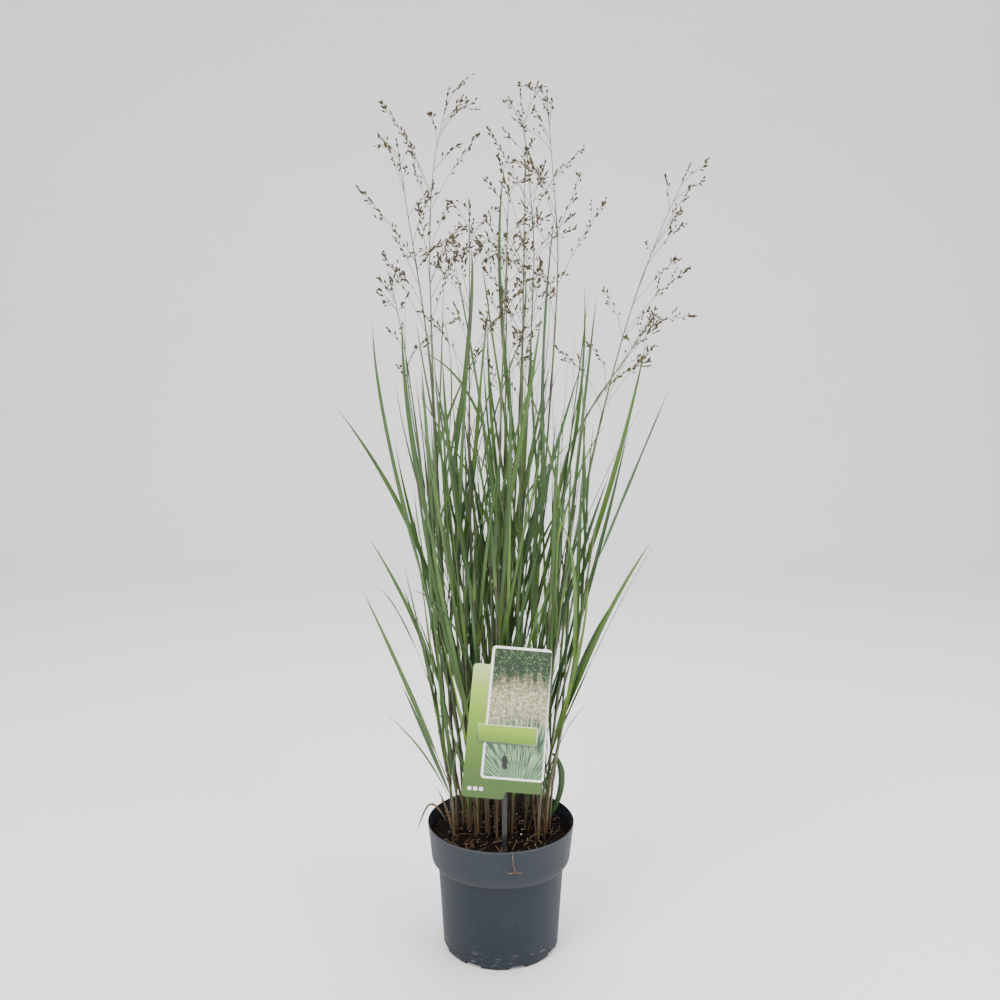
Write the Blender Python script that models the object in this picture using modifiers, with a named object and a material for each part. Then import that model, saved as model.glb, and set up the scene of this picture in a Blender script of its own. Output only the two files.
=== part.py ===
"""Switchgrass in a round nursery pot, with its stick-in plant label.

Run with: blender --background --python part.py
Metres, +Z up. The origin is the middle of the pot's flat base, and the label is on the -Y side.

The grass is a clump of separate shoots, each planted in its own socket in the soil. A shoot is one
grown piece: its culm, its leaf blades and, where it flowers, its panicle. The shoots that give the
clump its outline are placed by hand, and the rest fill the clump by rule, each kept clear of all
that stands before it.
"""

import math
import random
from dataclasses import dataclass, field

import bmesh
import bpy
import numpy as np
from mathutils import Matrix, Vector, noise
from mathutils.bvhtree import BVHTree

# Pot
POT_HEIGHT = 0.149
RIM_RADIUS = 0.0855
COLLAR_FOOT_RADIUS = 0.0812
COLLAR_DEPTH = 0.0475
SHOULDER_RADIUS = 0.0075
BODY_TOP_RADIUS = 0.0736
BASE_RADIUS = 0.0676
BASE_ROUNDING = 0.003
POT_WALL = 0.0018
POT_FLOOR = 0.0024
POT_STEPS = 40
DRAIN_SLOTS = 8
DRAIN_WIDTH = 0.020
DRAIN_HEIGHT = 0.0045
DRAIN_INNER_RADIUS = 0.054

# Soil
SOIL_LEVEL = 0.137
SOIL_LUMP = 0.0025
SOIL_LUMP_SIZE = 0.018
SOIL_STEPS = 30
SOIL_RINGS = 6
SEAT_GAP = 0.0003
SOCKET_DEPTH = 0.012
SOCKET_SLACK = 0.0004
SOCKET_SIDES = 8

# Label: a card on a stake, in the card's own plane, measured from the stake's stud
CARD_THICKNESS = 0.0008
CARD_TILT = math.radians(4.9)
STUD_HEIGHT = 0.2425
LABEL_X = 0.004
LABEL_Y = -0.0625
TAB_LEFT = -0.0447
TAB_LEFT_TOP = -0.0428
TAB_TOP = 0.1093
CARD_BOTTOM = -0.0425
STEP_X = 0.0014
STEP_RISE = 0.0090
CARD_RIGHT = 0.0427
PICTURE_LEFT = -0.0241
PICTURE_RIGHT = 0.0447
PICTURE_RIGHT_TOP = 0.0408
PICTURE_TOP = 0.1308
PICTURE_BOTTOM = -0.0195
CARD_CORNER = 0.0045
STAKE_WIDTH = 0.0056
STAKE_PLATE = 0.0016
STAKE_RIB_WIDTH = 0.0014
STAKE_RIB_DEPTH = 0.0022
STAKE_ABOVE_STUD = 0.014
STAKE_SOCKET_DEPTH = 0.045
STUD_WIDTH = 0.0046
STUD_LENGTH = 0.0150
STUD_PROUD = 0.0009

# Grass
SEED = 23
CROWN_RADIUS = 0.056
FOOT_SPACING = 0.0088
FILL_SHOOTS = 26
FILL_FLOWERING = 5
FOOT_RADIUS = 0.0021
CULM_RADIUS = 0.0014
RACHIS_TIP_RADIUS = 0.0004
CULM_POINTS = 7
CULM_STUB = 0.004
BLADE_STEPS = 6
BLADE_FOLD = 0.12
BLADE_BASE_WIDTH = 0.28
BLADE_LEAVING = math.radians(13)
BLADE_TIP_WIDTH = 0.07
BRANCH_RADIUS = 0.00035
BRANCH_HEAD_RADIUS = 0.0009
GAP = 0.00045
CULM_SIDES = 6
BLADE_SEAT = 0.0015
BRANCH_SEAT = 0.0007
UP = Vector((0.0, 0.0, 1.0))


@dataclass
class Blade:
    """A leaf blade: where it leaves its culm, its tip and its size, in metres and degrees."""

    collar: float
    tip: tuple[float, float, float]
    width: float = 0.007
    rise: float = 0.55
    twist: float = 75.0
    via: tuple[float, float, float] | None = None
    line: list[Vector] = field(default_factory=list)
    across: list[Vector] = field(default_factory=list)


@dataclass
class Branch:
    """A main branch of a panicle, as the line it follows from its rachis."""

    line: list[Vector]


@dataclass
class Shoot:
    """A culm with its blades. The path runs from above the soil to the culm's end or the panicle's tip."""

    foot: tuple[float, float]
    path: list[tuple[float, float, float]]
    blades: list[Blade] = field(default_factory=list)
    panicle_from: float = 0.0
    branch_count: int = 0
    branch_reach: float = 0.12
    line: list[Vector] = field(default_factory=list)
    branches: list[Branch] = field(default_factory=list)


# The shoots that give the clump its outline, from left to right
CHOSEN = [
    Shoot((-0.058, 0.012), [(-0.075, 0.015, 0.40), (-0.095, 0.015, 0.60), (-0.112, 0.015, 0.72),
                            (-0.124, 0.015, 0.775)],
          [Blade(0.29, (-0.149, 0.005, 0.480), 0.0070), Blade(0.40, (-0.098, 0.030, 0.670), 0.0065)],
          0.62, 6, 0.050),
    Shoot((-0.050, -0.012), [(-0.062, -0.012, 0.35), (-0.070, -0.012, 0.55), (-0.080, -0.012, 0.703),
                             (-0.095, -0.010, 0.80), (-0.111, -0.010, 0.912)],
          [Blade(0.44, (-0.108, -0.016, 0.725), 0.0090), Blade(0.34, (-0.141, -0.002, 0.723), 0.0075, 0.75)],
          0.69, 8, 0.110),
    Shoot((-0.043, 0.002), [(-0.055, 0.002, 0.30), (-0.072, 0.002, 0.525), (-0.077, 0.002, 0.747),
                            (-0.076, 0.002, 0.864), (-0.056, 0.002, 0.968)],
          [Blade(0.46, (-0.033, 0.004, 0.804), 0.0075, 0.85), Blade(0.36, (-0.055, 0.020, 0.640), 0.0070)],
          0.72, 9, 0.120),
    Shoot((-0.054, -0.026), [(-0.067, -0.028, 0.25), (-0.080, -0.030, 0.34)],
          [Blade(0.20, (-0.153, -0.030, 0.428), 0.0080), Blade(0.185, (-0.110, -0.045, 0.326), 0.0060),
           Blade(0.175, (-0.134, -0.020, 0.286), 0.0040), Blade(0.31, (-0.141, -0.010, 0.427), 0.0035, 0.9)]),
    Shoot((0.012, 0.006), [(0.020, 0.006, 0.40), (0.035, 0.010, 0.747), (0.034, 0.010, 0.84),
                           (0.021, 0.010, 0.969)],
          [Blade(0.52, (0.005, -0.008, 0.895), 0.0060, 0.7), Blade(0.38, (0.030, 0.030, 0.700), 0.0075)],
          0.71, 9, 0.110),
    Shoot((0.028, -0.012), [(0.042, -0.016, 0.45), (0.060, -0.020, 0.747), (0.058, -0.020, 0.84),
                            (0.048, -0.020, 0.959)],
          [Blade(0.54, (0.057, -0.037, 0.838), 0.0065), Blade(0.36, (0.045, -0.035, 0.650), 0.0080)],
          0.73, 9, 0.120),
    Shoot((0.000, 0.024), [(0.010, 0.024, 0.40), (0.024, 0.022, 0.70), (0.021, 0.022, 0.815),
                           (-0.016, 0.016, 0.834), (-0.087, 0.012, 0.796)],
          [Blade(0.44, (-0.015, 0.030, 0.730), 0.0070)],
          0.76, 7, 0.060),
    Shoot((0.050, 0.006), [(0.062, 0.006, 0.25), (0.076, 0.004, 0.42), (0.098, 0.002, 0.55),
                           (0.125, 0.000, 0.671), (0.158, 0.000, 0.781), (0.204, 0.000, 0.890)],
          [Blade(0.38, (0.159, -0.010, 0.702), 0.0085), Blade(0.30, (0.145, 0.018, 0.606), 0.0070),
           Blade(0.27, (0.106, 0.024, 0.445), 0.0035)],
          0.60, 9, 0.115),
    Shoot((0.043, -0.022), [(0.050, -0.023, 0.30), (0.060, -0.022, 0.50), (0.076, -0.020, 0.587),
                            (0.125, -0.020, 0.668), (0.166, -0.022, 0.728)],
          [Blade(0.49, (0.089, -0.030, 0.760), 0.0085), Blade(0.34, (0.118, -0.034, 0.559), 0.0070)],
          0.63, 7, 0.070),
    Shoot((0.056, -0.010), [(0.066, -0.018, 0.24), (0.074, -0.020, 0.36), (0.078, -0.018, 0.50)],
          [Blade(0.265, (0.166, -0.030, 0.484), 0.0080),
           Blade(0.215, (0.047, -0.052, 0.146), 0.0080, via=(0.098, -0.045, 0.235))]),
]


def smooth_line(points: list, count: int) -> list[Vector]:
    """A Catmull-Rom line through the points, read again at even steps.

    Args:
        points: the places that the line passes through.
        count: how many points the line gets.

    Returns:
        The points of the line, from first to last.
    """
    known = np.array([tuple(p) for p in points], float)
    known = np.vstack([2 * known[0] - known[1], known, 2 * known[-1] - known[-2]])
    fine = []
    for i in range(1, len(known) - 2):
        before, start, end, after = known[i - 1:i + 3]
        for t in np.linspace(0, 1, 24, endpoint=False):
            fine.append(0.5 * (2 * start + (end - before) * t
                               + (2 * before - 5 * start + 4 * end - after) * t ** 2
                               + (3 * start - before - 3 * end + after) * t ** 3))
    fine.append(known[-2])
    fine = np.array(fine)
    run = np.concatenate([[0.0], np.cumsum(np.linalg.norm(np.diff(fine, axis=0), axis=1))])
    wanted = np.linspace(0, run[-1], count)
    return [Vector(p) for p in np.stack([np.interp(wanted, run, fine[:, k]) for k in range(3)], axis=1)]


def tangents(line: list[Vector]) -> list[Vector]:
    """The direction of a line at each of its points."""
    last = len(line) - 1
    return [(line[min(i + 1, last)] - line[max(i - 1, 0)]).normalized() for i in range(last + 1)]


def at_height(line: list[Vector], height: float) -> tuple[Vector, Vector]:
    """Where a rising line first passes a height, and its direction there."""
    for low, high in zip(line, line[1:]):
        if high.z >= height:
            share = (height - low.z) / max(high.z - low.z, 1e-6)
            return low.lerp(high, max(0.0, min(1.0, share))), (high - low).normalized()
    return line[-1].copy(), (line[-1] - line[-2]).normalized()


def blade_width(share: float) -> float:
    """A blade's width at a share of its length, as a share of its greatest width."""
    opening = min(1.0, share / 0.18)
    opening = BLADE_BASE_WIDTH + (1 - BLADE_BASE_WIDTH) * opening * opening * (3 - 2 * opening)
    return max(BLADE_TIP_WIDTH, opening * (1 - share ** 2.4) ** 0.85)


def lay_blade(shoot: Shoot, blade: Blade, steps: int) -> None:
    """Works out a blade's centre line and the way its width faces at each point of it."""
    start, along = at_height(shoot.line, blade.collar)
    tip = Vector(blade.tip)
    length = (tip - start).length
    away = tip - start
    away = (away - along * away.dot(along)).normalized()
    leave = along * math.cos(BLADE_LEAVING) + away * math.sin(BLADE_LEAVING)
    middle = Vector(blade.via) if blade.via else start + leave * (length * blade.rise)
    shares = [i / steps for i in range(steps + 1)]
    blade.line = [start * (1 - t) ** 2 + middle * (2 * t * (1 - t)) + tip * t ** 2 for t in shares]
    ways = tangents(blade.line)
    bend = (middle - start).cross(tip - start)
    side = bend.normalized() if bend.length > 1e-6 else along.orthogonal().normalized()
    blade.across = []
    for t, way in zip(shares, ways):
        side = (side - way * side.dot(way)).normalized()
        turned = min(1.0, t / 0.4)
        angle = math.radians(blade.twist) * turned * turned * (3 - 2 * turned)
        blade.across.append(Matrix.Rotation(angle, 3, way) @ side)


def blade_section(blade: Blade, index: int, grow: float) -> list[Vector]:
    """The four corners of a blade's folded section: left edge, keel, right edge and the fold's inside."""
    share = index / (len(blade.line) - 1)
    half = blade.width * blade_width(share) / 2
    way = tangents(blade.line)[index]
    side = blade.across[index]
    face = side.cross(way)
    middle = blade.line[index]
    fold = half * 2 * BLADE_FOLD
    return [middle - side * (half + grow) + face * (fold / 2 + grow),
            middle - face * (fold / 2 + grow),
            middle + side * (half + grow) + face * (fold / 2 + grow),
            middle + face * (fold * 0.42 + grow)]


def ring_faces(rings: int, sides: int) -> list[tuple[int, ...]]:
    """The faces that join rings of corners into a closed body, its two ends included."""
    faces = [(r * sides + (s + 1) % sides, r * sides + s, (r + 1) * sides + s,
              (r + 1) * sides + (s + 1) % sides) for r in range(rings - 1) for s in range(sides)]
    faces.append(tuple(range(sides)))
    faces.append(tuple((rings - 1) * sides + s for s in reversed(range(sides))))
    return faces


def tube_corners(line: list[Vector], radii: list[float], sides: int) -> list[Vector]:
    """The corners of a round tube along a line, a ring for each of its points."""
    corners = []
    for middle, way, radius in zip(line, tangents(line), radii):
        side = way.cross(Vector((0.0, 1.0, 0.0))).normalized()
        face = way.cross(side)
        for s in range(sides):
            turn = 2 * math.pi * s / sides
            corners.append(middle + (side * math.cos(turn) + face * math.sin(turn)) * radius)
    return corners


class Clump:
    """The whole clump as it is laid out, with what each new piece has to stay clear of."""

    def __init__(self) -> None:
        """Starts with the label's own room taken."""
        self.random = random.Random(SEED)
        self.shoots: list[Shoot] = []
        self.taken: list[tuple[Vector, Vector, BVHTree, Shoot | None]] = []
        self.take([Vector((x, y, z)) for z in (SOIL_LEVEL - 0.02, 0.380)
                   for x, y in ((-0.048, -0.150), (0.066, -0.150), (0.066, -0.0545), (-0.048, -0.0545))],
                  ring_faces(2, 4))

    def take(self, corners: list[Vector], faces: list[tuple[int, ...]], culm_of: Shoot | None = None) -> None:
        """Marks a body's room as taken."""
        low = Vector([min(c[k] for c in corners) for k in range(3)])
        high = Vector([max(c[k] for c in corners) for k in range(3)])
        self.taken.append((low, high, BVHTree.FromPolygons(corners, faces), culm_of))

    def clear(self, corners: list[Vector], faces: list[tuple[int, ...]], shoot: Shoot | None = None) -> bool:
        """Whether a body meets nothing that is already there, but for the culm that it grows on."""
        low = [min(c[k] for c in corners) for k in range(3)]
        high = [max(c[k] for c in corners) for k in range(3)]
        near = [tree for least, most, tree, culm_of in self.taken
                if (shoot is None or culm_of is not shoot)
                and all(least[k] <= high[k] and most[k] >= low[k] for k in range(3))]
        own = BVHTree.FromPolygons(corners, faces)
        return not any(own.overlap(tree) for tree in near)

    def culm_body(self, shoot: Shoot, grow: float) -> tuple[list[Vector], list[tuple[int, ...]]]:
        """The corners and faces of a shoot's culm, made wider by grow."""
        radii = [culm_radius(shoot, p.z) + grow for p in shoot.line]
        return tube_corners(shoot.line, radii, CULM_SIDES), ring_faces(len(shoot.line), CULM_SIDES)

    def blade_body(self, blade: Blade, first: int, grow: float) -> tuple[list[Vector], list[tuple[int, ...]]]:
        """The corners and faces of a blade from one of its points on, made wider by grow."""
        rings = range(first, len(blade.line))
        corners = [c for i in rings for c in blade_section(blade, i, grow)]
        return corners, ring_faces(len(rings), 4)

    def add_culm(self, shoot: Shoot) -> bool:
        """Plants a shoot if its culm and its foot are clear of the others."""
        spaced = all(math.dist(shoot.foot, other.foot) >= FOOT_SPACING for other in self.shoots)
        count = CULM_POINTS + (4 if shoot.panicle_from else 0)
        foot = Vector((*shoot.foot, SOIL_LEVEL + CULM_STUB))
        rooted = Vector((*shoot.foot, SOIL_LEVEL - SOCKET_DEPTH + SEAT_GAP))
        lifted = foot + UP * 0.03 + (Vector(shoot.path[0]) - foot) * 0.12
        shoot.line = [rooted, *smooth_line([foot, lifted, *shoot.path], count)]
        corners, faces = self.culm_body(shoot, GAP)
        if not spaced or not self.clear(corners, faces):
            return False
        self.take(corners, faces, shoot)
        self.shoots.append(shoot)
        return True

    def add_blade(self, shoot: Shoot, blade: Blade) -> bool:
        """Grows a blade on a planted shoot if it is clear of everything but its own collar."""
        lay_blade(shoot, blade, BLADE_STEPS)
        if not self.clear(*self.blade_body(blade, 0, GAP), shoot):
            return False
        if not self.clear(*self.blade_body(blade, 1, GAP)):
            return False
        self.take(*self.blade_body(blade, 0, GAP))
        shoot.blades.append(blade)
        return True

    def add_branches(self, shoot: Shoot) -> None:
        """Grows a panicle's main branches, longest at its foot, each turned on from the last."""
        top = shoot.line[-1].z
        rachis = [p for p in shoot.line if p.z > shoot.panicle_from - 0.02]
        turn = self.random.uniform(0, 2 * math.pi)
        for k in range(shoot.branch_count):
            share = (k + 0.35 * self.random.random()) / shoot.branch_count
            place = rachis[0].lerp(rachis[-1], share)
            nearest = min(rachis[:-1], key=lambda p: (p - place).length)
            after = rachis[rachis.index(nearest) + 1]
            start = nearest.lerp(after, 0.25 + 0.5 * self.random.random())
            way = (after - nearest).normalized()
            for _ in range(14):
                turn += math.radians(137.5) + self.random.uniform(-0.4, 0.4)
                out = Vector((math.cos(turn), 0.7 * math.sin(turn), 0.0)).normalized()
                reach = shoot.branch_reach * (1.08 - 0.85 * share) * self.random.uniform(0.75, 1.1)
                spread = math.radians(self.random.uniform(24, 46))
                end = start + (way * math.cos(spread) + out * math.sin(spread)) * reach
                end.z = min(end.z, top)
                middle = start + (way * 0.85 + out * 0.35) * (reach * 0.5)
                line = [start * (1 - t) ** 2 + middle * (2 * t * (1 - t)) + end * t ** 2
                        for t in (0.0, 0.4, 0.75, 1.0)]
                body = tube_corners(line, [BRANCH_HEAD_RADIUS + GAP] * 4, 4), ring_faces(4, 4)
                free = tube_corners(line[1:], [BRANCH_HEAD_RADIUS + GAP] * 3, 4), ring_faces(3, 4)
                if self.clear(*body, shoot) and self.clear(*free):
                    self.take(*body)
                    shoot.branches.append(Branch(line))
                    break

    def plant_chosen(self) -> None:
        """Plants the shoots chosen by hand, and moves a blade's tip in depth where it would meet another."""
        wanted = [(shoot, shoot.blades) for shoot in CHOSEN]
        for shoot, _ in wanted:
            shoot.blades = []
            if not self.add_culm(shoot):
                print("no room for the chosen shoot at", shoot.foot)
        for shoot, blades in wanted:
            for blade in blades:
                x, y, z = blade.tip
                for k in range(40):
                    blade.tip = (x, y + 0.004 * ((k + 1) // 2) * (-1) ** k, z)
                    if self.add_blade(shoot, blade):
                        break
                else:
                    print("no room for the chosen blade to", (x, y, z))

    def plant_fill(self) -> None:
        """Fills the clump between the chosen shoots."""
        golden = math.radians(137.5)
        ring = 0
        flowering = 0
        planted = 0
        while planted < FILL_SHOOTS and ring < 3000:
            ring += 1
            radius = CROWN_RADIUS * math.sqrt((ring * 0.618) % 1.0)
            angle = golden * ring + self.random.uniform(-0.3, 0.3)
            x, y = radius * math.cos(angle), 0.9 * radius * math.sin(angle)
            lean = self.random.uniform(0.6, 1.25)
            flowers = flowering < FILL_FLOWERING and radius < 0.6 * CROWN_RADIUS
            top = self.random.uniform(0.80, 0.93) if flowers else self.random.uniform(0.40, 0.58)
            end = (x * (1 + lean * top * 1.6), y * (1 + lean * top * 1.6), top)
            bow = self.random.uniform(-0.012, 0.012)
            half = ((x + end[0]) / 2 + bow, (y + end[1]) / 2 - bow, 0.5 * (SOIL_LEVEL + top))
            shoot = Shoot((x, y), [half, end])
            if flowers:
                shoot.panicle_from = top - self.random.uniform(0.19, 0.24)
                shoot.branch_count = 7
                shoot.branch_reach = self.random.uniform(0.07, 0.11)
            if self.add_culm(shoot):
                planted += 1
                flowering += flowers

    def fill_blades(self, shoot: Shoot) -> None:
        """Grows a filling shoot's blades in two ranks up its culm, turned until they find room."""
        rank = self.random.uniform(0, 2 * math.pi)
        top = shoot.line[-1].z
        highest = (shoot.panicle_from - 0.12 if shoot.panicle_from else top) - 0.02
        count = 4
        for k in range(count):
            collar = 0.19 + (highest - 0.19) * (k + self.random.uniform(0.0, 0.5)) / count
            start, _ = at_height(shoot.line, collar)
            for _ in range(26):
                side = rank + math.pi * (k % 2) + self.random.uniform(-0.9, 0.9)
                length = self.random.uniform(0.20, 0.33)
                reach = self.random.uniform(0.018, 0.085)
                away = Vector((start.x, start.y, 0.0)) * 0.45
                tip = start + Vector((math.cos(side) * reach, math.sin(side) * reach, 0.0)) + away
                tip.z = min(start.z + length * self.random.uniform(0.90, 0.99), 0.80)
                blade = Blade(collar, tuple(tip), self.random.uniform(0.0050, 0.0085),
                              self.random.uniform(0.45, 0.75), self.random.uniform(-95, 95))
                if self.add_blade(shoot, blade):
                    break

    def grow(self) -> None:
        """Lays out the whole clump."""
        self.plant_chosen()
        self.plant_fill()
        for shoot in self.shoots:
            if shoot.panicle_from:
                self.add_branches(shoot)
        for shoot in self.shoots[len(CHOSEN):]:
            self.fill_blades(shoot)


def culm_radius(shoot: Shoot, height: float) -> float:
    """A culm's radius at a height: sheathed at its foot, and drawn out to a thread in a panicle."""
    end = shoot.line[-1].z if shoot.line else 1.0
    share = max(0.0, min(1.0, (height - SOIL_LEVEL) / max(end - SOIL_LEVEL, 1e-6)))
    sheathed = FOOT_RADIUS + (CULM_RADIUS - FOOT_RADIUS) * share
    if not shoot.panicle_from or height < shoot.panicle_from:
        return sheathed
    thin = (height - shoot.panicle_from) / max(end - shoot.panicle_from, 1e-6)
    return sheathed + (RACHIS_TIP_RADIUS - sheathed) * min(1.0, 0.35 + 0.65 * thin)


# Blender helpers

def clear_scene() -> None:
    """Removes the startup objects."""
    for obj in list(bpy.data.objects):
        bpy.data.objects.remove(obj, do_unlink=True)


def new_collection(name: str) -> bpy.types.Collection:
    """A collection linked to the scene."""
    made = bpy.data.collections.new(name)
    bpy.context.scene.collection.children.link(made)
    return made


def finish_material(name: str, colour: tuple, roughness: float, metallic: float = 0.0) -> bpy.types.Material:
    """A plain finish."""
    material = bpy.data.materials.new(name)
    material.use_nodes = True
    shader = material.node_tree.nodes["Principled BSDF"]
    shader.inputs["Base Color"].default_value = (*colour, 1.0)
    shader.inputs["Roughness"].default_value = roughness
    shader.inputs["Metallic"].default_value = metallic
    return material


def add_object(name: str, data, collection, material=None) -> bpy.types.Object:
    """An object in a collection, with its finish."""
    obj = bpy.data.objects.new(name, data)
    collection.objects.link(obj)
    if material:
        obj.data.materials.append(material)
    return obj


def mesh_of(obj: bpy.types.Object, collection) -> bpy.types.Object:
    """Replaces an object by a welded mesh of what it evaluates to."""
    graph = bpy.context.evaluated_depsgraph_get()
    mesh = bpy.data.meshes.new_from_object(obj.evaluated_get(graph))
    name, place = obj.name, obj.matrix_world.copy()
    bpy.data.objects.remove(obj, do_unlink=True)
    body = bmesh.new()
    body.from_mesh(mesh)
    bmesh.ops.remove_doubles(body, verts=body.verts, dist=1e-6)
    bmesh.ops.recalc_face_normals(body, faces=body.faces)
    body.to_mesh(mesh)
    body.free()
    made = add_object(name, mesh, collection)
    made.matrix_world = place
    return made


def boolean(obj: bpy.types.Object, other: bpy.types.Object, operation: str) -> None:
    """Joins or cuts an object with another, which is then taken away."""
    modifier = obj.modifiers.new(operation.lower(), "BOOLEAN")
    modifier.operation = operation
    modifier.object = other
    modifier.solver = "EXACT"
    bpy.context.view_layer.update()
    graph = bpy.context.evaluated_depsgraph_get()
    mesh = bpy.data.meshes.new_from_object(obj.evaluated_get(graph))
    obj.modifiers.clear()
    obj.data = mesh
    bpy.data.objects.remove(other, do_unlink=True)


def turned(name: str, profile: list[tuple[float, float]], steps: int, collection) -> bpy.types.Object:
    """A turned shape. The profile holds (radius, height) points, down the outside and up the inside."""
    mesh = bpy.data.meshes.new(name)
    closed = [(i, i + 1) for i in range(len(profile) - 1)]
    if profile[0][0] > 0:
        closed.append((len(profile) - 1, 0))
    mesh.from_pydata([(r, 0.0, z) for r, z in profile], closed, [])
    obj = add_object(name, mesh, collection)
    screw = obj.modifiers.new("turn", "SCREW")
    screw.steps = screw.render_steps = steps
    screw.use_merge_vertices = True
    screw.merge_threshold = 0.00001
    bpy.context.view_layer.update()
    return mesh_of(obj, collection)


def arc(middle: tuple[float, float], radius: float, start: float, end: float, steps: int) -> list:
    """Points of an arc, its angles in degrees."""
    angles = [math.radians(start + (end - start) * i / steps) for i in range(steps + 1)]
    return [(middle[0] + radius * math.cos(a), middle[1] + radius * math.sin(a)) for a in angles]


# Pot and soil

def body_radius(height: float) -> float:
    """The outer radius of the pot's body at a height."""
    top = POT_HEIGHT - COLLAR_DEPTH
    return BASE_RADIUS + (BODY_TOP_RADIUS - BASE_RADIUS) * height / top


def pot_profile() -> list[tuple[float, float]]:
    """The pot's wall: rolled rim, collar, rounded shoulder, tapered body and flat base."""
    step = POT_HEIGHT - COLLAR_DEPTH
    lip = POT_WALL / 2
    rim = arc((RIM_RADIUS - lip, POT_HEIGHT - lip), lip, 90, 0, 2)
    shoulder = arc((COLLAR_FOOT_RADIUS - SHOULDER_RADIUS, step + SHOULDER_RADIUS), SHOULDER_RADIUS, 0, -80, 4)
    heel = arc((BASE_RADIUS - BASE_ROUNDING, BASE_ROUNDING), BASE_ROUNDING, 0, -90, 2)
    inner_shoulder = arc((COLLAR_FOOT_RADIUS - SHOULDER_RADIUS, step + SHOULDER_RADIUS),
                         SHOULDER_RADIUS - POT_WALL, -70, 0, 3)
    return [*rim, *shoulder, (body_radius(step), step - 0.0006), *heel, (0.0, 0.0), (0.0, POT_FLOOR),
            (BASE_RADIUS - POT_WALL, POT_FLOOR), (body_radius(step) - POT_WALL, step), *inner_shoulder,
            (RIM_RADIUS - 2 * lip, POT_HEIGHT - lip)]


def make_pot(collection) -> None:
    """The pot, with slots through the corner of its base to drain it."""
    profile = pot_profile()
    pot = turned("pot", profile, POT_STEPS, collection)
    for k in range(DRAIN_SLOTS):
        bpy.ops.mesh.primitive_cube_add(size=1.0)
        slot = bpy.context.active_object
        slot.data.transform(Matrix.Diagonal((BASE_RADIUS + 0.01 - DRAIN_INNER_RADIUS, DRAIN_WIDTH,
                                             DRAIN_HEIGHT * 2, 1.0)))
        slot.data.transform(Matrix.Translation(((BASE_RADIUS + 0.01 + DRAIN_INNER_RADIUS) / 2, 0, 0)))
        turn = 2 * math.pi * (k + 0.38) / DRAIN_SLOTS
        slot.data.transform(Matrix.Rotation(turn, 4, "Z"))
        boolean(pot, slot, "DIFFERENCE")
    pot.data.materials.append(finish_material("pot_plastic", (0.050, 0.058, 0.068), 0.45))
    pot.data.shade_smooth()
    pot.data.set_sharp_from_angle(angle=math.radians(35))


def soil_profile() -> list[tuple[float, float]]:
    """The soil's outline: its top from the middle out, then down the pot's inner wall to its floor."""
    step = POT_HEIGHT - COLLAR_DEPTH
    wall = POT_WALL + SEAT_GAP
    edge = RIM_RADIUS - wall - 0.0016
    top = [(edge * i / SOIL_RINGS, SOIL_LEVEL) for i in range(SOIL_RINGS + 1)]
    shoulder = arc((COLLAR_FOOT_RADIUS - SHOULDER_RADIUS, step + SHOULDER_RADIUS),
                   SHOULDER_RADIUS - wall - 0.0004, 0, -70, 3)
    side = [(body_radius(step) - wall - 0.0006, step), (BASE_RADIUS - wall - 0.0006, POT_FLOOR + SEAT_GAP)]
    return [*top, *shoulder, *side, (0.0, POT_FLOOR + SEAT_GAP)]


def make_soil(shoots: list[Shoot], collection) -> None:
    """The soil that fills the pot, lumpy on top, with a socket for each shoot and for the stake."""
    soil = turned("soil", soil_profile(), SOIL_STEPS, collection)
    for vertex in soil.data.vertices:
        if vertex.co.z > SOIL_LEVEL - 0.0001:
            lump = noise.noise(Vector(vertex.co) / SOIL_LUMP_SIZE)
            crown = 0.003 * max(0.0, 1 - vertex.co.xy.length / CROWN_RADIUS)
            vertex.co.z += SOIL_LUMP * lump + crown
    sockets = bmesh.new()
    radius = (FOOT_RADIUS + SOCKET_SLACK) / math.cos(math.pi / SOCKET_SIDES)
    for shoot in shoots:
        middle = SOIL_LEVEL - SOCKET_DEPTH + 0.015
        bmesh.ops.create_cone(sockets, cap_ends=True, segments=SOCKET_SIDES, radius1=radius,
                              radius2=radius, depth=0.03,
                              matrix=Matrix.Translation((*shoot.foot, middle)))
    size = (STAKE_WIDTH + 2 * SOCKET_SLACK, STAKE_PLATE + STAKE_RIB_DEPTH + 2 * SOCKET_SLACK)
    place = Matrix.Translation((LABEL_X, stake_middle_y(), SOIL_LEVEL - STAKE_SOCKET_DEPTH + 0.03))
    bmesh.ops.create_cube(sockets, size=1.0, matrix=place @ Matrix.Diagonal((*size, 0.06, 1.0)))
    mesh = bpy.data.meshes.new("sockets")
    sockets.to_mesh(mesh)
    sockets.free()
    boolean(soil, add_object("sockets", mesh, collection), "DIFFERENCE")
    soil.data.materials.append(finish_material("potting_soil", (0.022, 0.014, 0.010), 0.95))


# Label

def stake_middle_y() -> float:
    """The depth of the middle of the stake's section, which stands just behind the card."""
    back = LABEL_Y + CARD_THICKNESS / 2 + SEAT_GAP
    return back + (STAKE_PLATE + STAKE_RIB_DEPTH) / 2


def rounded(corners: list[tuple[float, float, float]], steps: int = 3) -> list[tuple[float, float]]:
    """An outline whose corners, each (x, y, radius), are rounded."""
    outline = []
    count = len(corners)
    for i, (x, y, radius) in enumerate(corners):
        here = Vector((x, y))
        if radius <= 0:
            outline.append((x, y))
            continue
        back = (Vector(corners[i - 1][:2]) - here).normalized()
        on = (Vector(corners[(i + 1) % count][:2]) - here).normalized()
        for k in range(steps + 1):
            t = k / steps
            start, end = here + back * radius, here + on * radius
            point = start * (1 - t) ** 2 + here * (2 * t * (1 - t)) + end * t ** 2
            outline.append(tuple(point))
    return outline


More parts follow.
